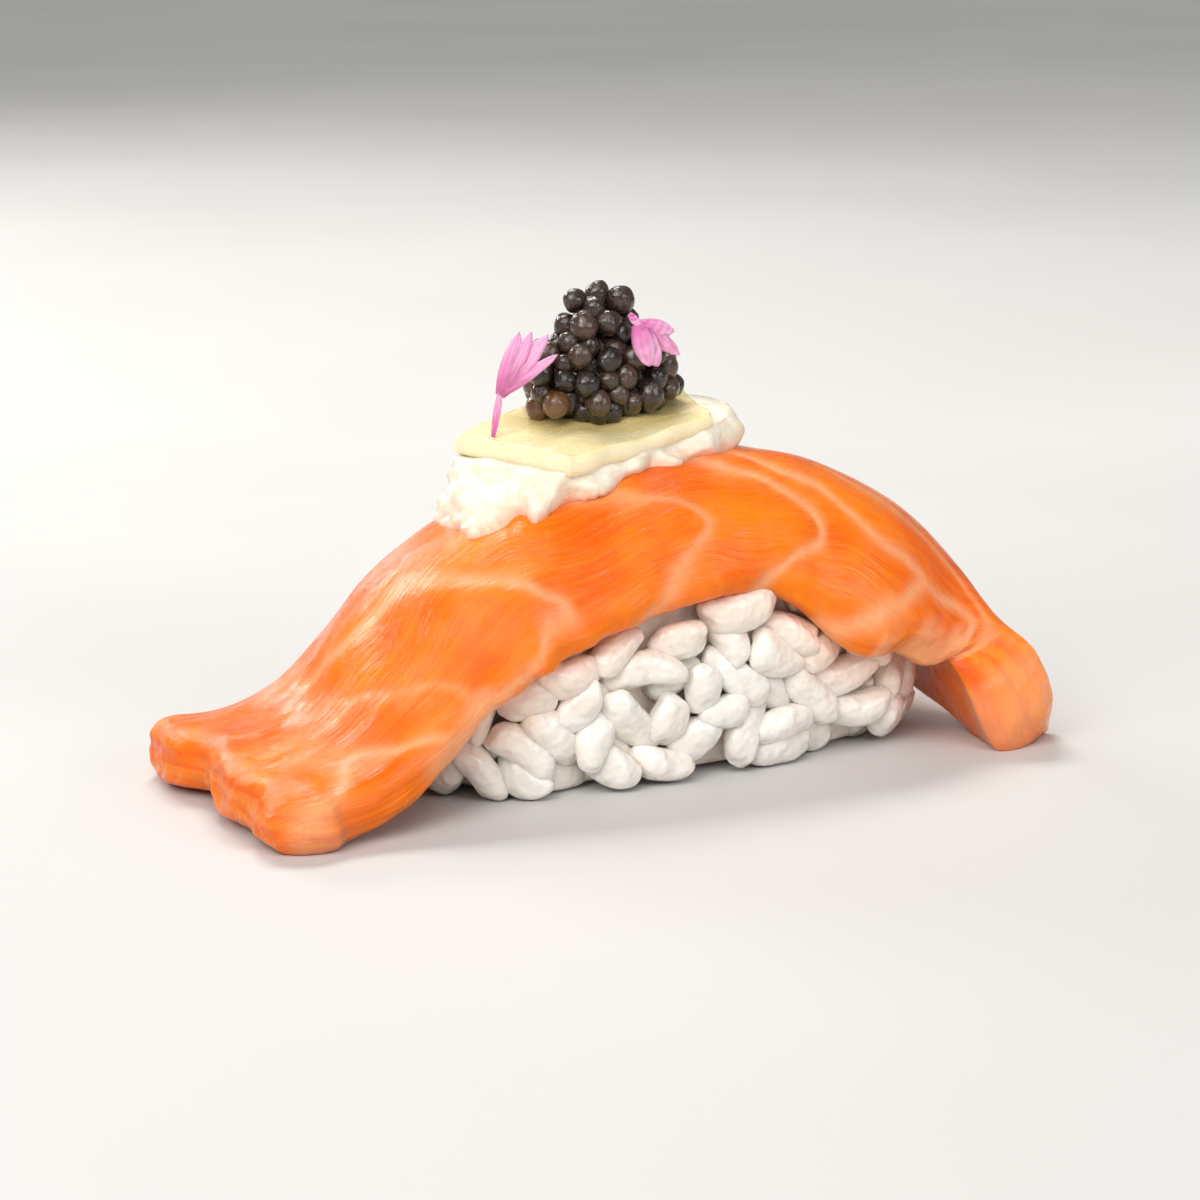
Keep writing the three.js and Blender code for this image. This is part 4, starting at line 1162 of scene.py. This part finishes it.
# One petal: it widens along its run as part of a half wave, cups across and curls back at its tip.
def petalSheet(shape, start, tip, width, cup, seed):
    start, tip = np.array(start, float), np.array(tip, float)
    run = tip - start
    sideways = np.cross(run, shape["facing"])
    sideways /= np.linalg.norm(sideways)
    outwards = np.cross(sideways, run)
    outwards /= np.linalg.norm(outwards)
    along, across = np.meshgrid(np.linspace(0, 1, shape["rows"]), np.linspace(-1, 1, shape["columns"]),
                                indexing="ij")
    first, further = shape["widening"]
    reach = shape["waist"] + (1 - shape["waist"]) * np.sin(np.pi * np.clip(first + further * along, 0, 1))
    tipClose = np.sqrt(np.clip((1 - along) / shape["tipLength"], 0, 1))
    curve = cup * np.sin(np.pi * along) - cup * shape["curl"] * across ** 2 * reach
    curve = curve + shape["wave"] * waves(np.stack([along * 5, across], -1), 1.2, seed)
    middle = start + run * along[..., None] + outwards * curve[..., None]
    points = middle - sideways * (across * width * reach * tipClose / 2)[..., None]
    endRim = shape["endRim"]
    edge = np.minimum(np.minimum(1 - np.abs(across), along * endRim), (1 - along) * endRim)
    half = shape["thick"] / 2 * np.sqrt(np.clip(edge / shape["rim"], 0, 1))[..., None] * outwards
    values = np.stack([along * 8, across, np.full(along.shape, seed)], -1)
    return sheetValues(points + half, points - half), sheetValues(values, values)


# Petals: paler towards the tip, with darker veins along them and a nearly dull finish.
def petalMaterial(look):
    material, tree, shader = startMaterial("floretPetal", look["shader"])
    at = attributeOf(tree, "petal", "Vector")
    alongPetal = addNode(tree, "ShaderNodeSeparateXYZ", {0: at}).outputs["X"]
    veinsAt = addNode(tree, "ShaderNodeVectorMath", {0: at, 1: (1.0, 3.0, 1.0)}, operation="MULTIPLY")
    veins = useGroup(tree, fibres, {"Vector": veinsAt.outputs[0], **look["veins"]})
    base = mixColour(tree, rangeOf(tree, alongPetal, 0.0, 6.5), look["footColour"], look["tipColour"])
    base = layOver(tree, base, veins["Mask"], 0.4, look["veinColour"])
    wetFinish(tree, shader, base, at, look["wet"])
    tree.links.new(bumpFrom(tree, veins["Height"], 0.08), shader.inputs["Normal"])
    return material


petalFinish = petalMaterial(petalShape)
petalFaces = sheetFaces(petalShape["rows"], petalShape["columns"])
for node, settings in floretSettings.items():
    foot, middle, fork = (np.array(corner) for corner in settings["stem"])
    stemEnd = fork + 0.3 * (fork - foot)             # the stem reaches a little into the petals
    parts = [petalSheet(petalShape, foot, stemEnd, settings["stemWidth"], 0.0, 70)]
    parts += [petalSheet(petalShape, fork, tip, width, settings["cup"], 71 + i)
              for i, (tip, width) in enumerate(settings["lobes"])]
    points = np.concatenate([part[0] for part in parts])
    values = np.concatenate([part[1] for part in parts])
    faces = repeatedFaces(petalFaces, len(parts[0][0]), len(parts))
    makePiece(node.replace("petal", "floret"), points + place, faces, node, petalFinish,
              {"petal": values})


roomSettings = {
    "floorReach": 3, "floorRoughness": 0.6, "floorClouds": 160.0,        # metres, and mm for the clouds
    "floorColours": (colour(204, 203, 201), colour(209, 208, 206)),
    "evenLight": {"azimuth": -40, "elevation": 48, "spread": 50, "strength": 1.5},
    "aimHeight": 0.015, "worldColour": (0.86, 0.86, 0.85, 1), "worldStrength": 0.26,
    "softLights": [                                  # name, azimuth, elevation, distance, size, power, tint
        ("keyBehind", 168, 58, 0.6, (0.3, 0.16), 2.3, (1.0, 0.97, 0.93)),
        ("sheenBehind", 192, 24, 0.7, (0.3, 0.12), 1.5, (1.0, 0.98, 0.95)),
        ("fillFront", -62, 32, 0.6, (0.34, 0.24), 1.4, (1.0, 0.98, 0.96)),
        ("fillRight", 22, 24, 0.8, (0.4, 0.3), 1.5, (0.98, 0.98, 1.0)),
    ],
}


# A flat square of floor at z = 0 with faint wide clouds.
def plainFloor(room):
    material, tree, shader = startMaterial("paleFloor", {"Roughness": room["floorRoughness"]})
    clouds = cloudsOf(tree, placeInMm(tree), room["floorClouds"], room["floorColours"])
    tree.links.new(clouds, shader.inputs["Base Color"])
    reach = room["floorReach"]
    mesh = bpy.data.meshes.new("floor")
    mesh.from_pydata([(-reach, -reach, 0), (reach, -reach, 0), (reach, reach, 0), (-reach, reach, 0)], [],
                     [(0, 1, 2, 3)])
    mesh.materials.append(material)
    floor = bpy.data.objects.new("floor", mesh)
    bpy.context.scene.collection.objects.link(floor)


# Hangs a light at a place, shining back along a direction.
def hangLight(data, back, place):
    light = bpy.data.objects.new(data.name, data)
    light.location = place
    light.rotation_mode = "QUATERNION"
    light.rotation_quaternion = back.to_track_quat("Z", "Y")
    bpy.context.scene.collection.objects.link(light)


# A soft rectangle of light: its place is its direction times its distance, above the aimed height.
def softLight(name, azimuth, elevation, distance, size, power, tint):
    back = directionOf(azimuth, elevation)
    data = bpy.data.lights.new(name, "AREA")
    data.shape = "RECTANGLE"
    data.size, data.size_y = size
    data.energy = power
    data.color = tint
    hangLight(data, back, back * distance + Vector((0, 0, roomSettings["aimHeight"])))


# A wide even light from far off, so that the floor stays pale into the distance.
def evenLight(azimuth, elevation, spread, strength):
    data = bpy.data.lights.new("evenLight", "SUN")
    data.angle = math.radians(spread)
    data.energy = strength
    hangLight(data, directionOf(azimuth, elevation), Vector((0, 0, 0)))


plainFloor(roomSettings)
evenLight(**roomSettings["evenLight"])
for light in roomSettings["softLights"]:
    softLight(*light)
world = bpy.data.worlds.new("paleRoom")
world.use_nodes = True
world.node_tree.nodes["Background"].inputs["Color"].default_value = roomSettings["worldColour"]
world.node_tree.nodes["Background"].inputs["Strength"].default_value = roomSettings["worldStrength"]
bpy.context.scene.world = world
bpy.context.scene.view_settings.view_transform = "Standard"
print("floor and lights made")
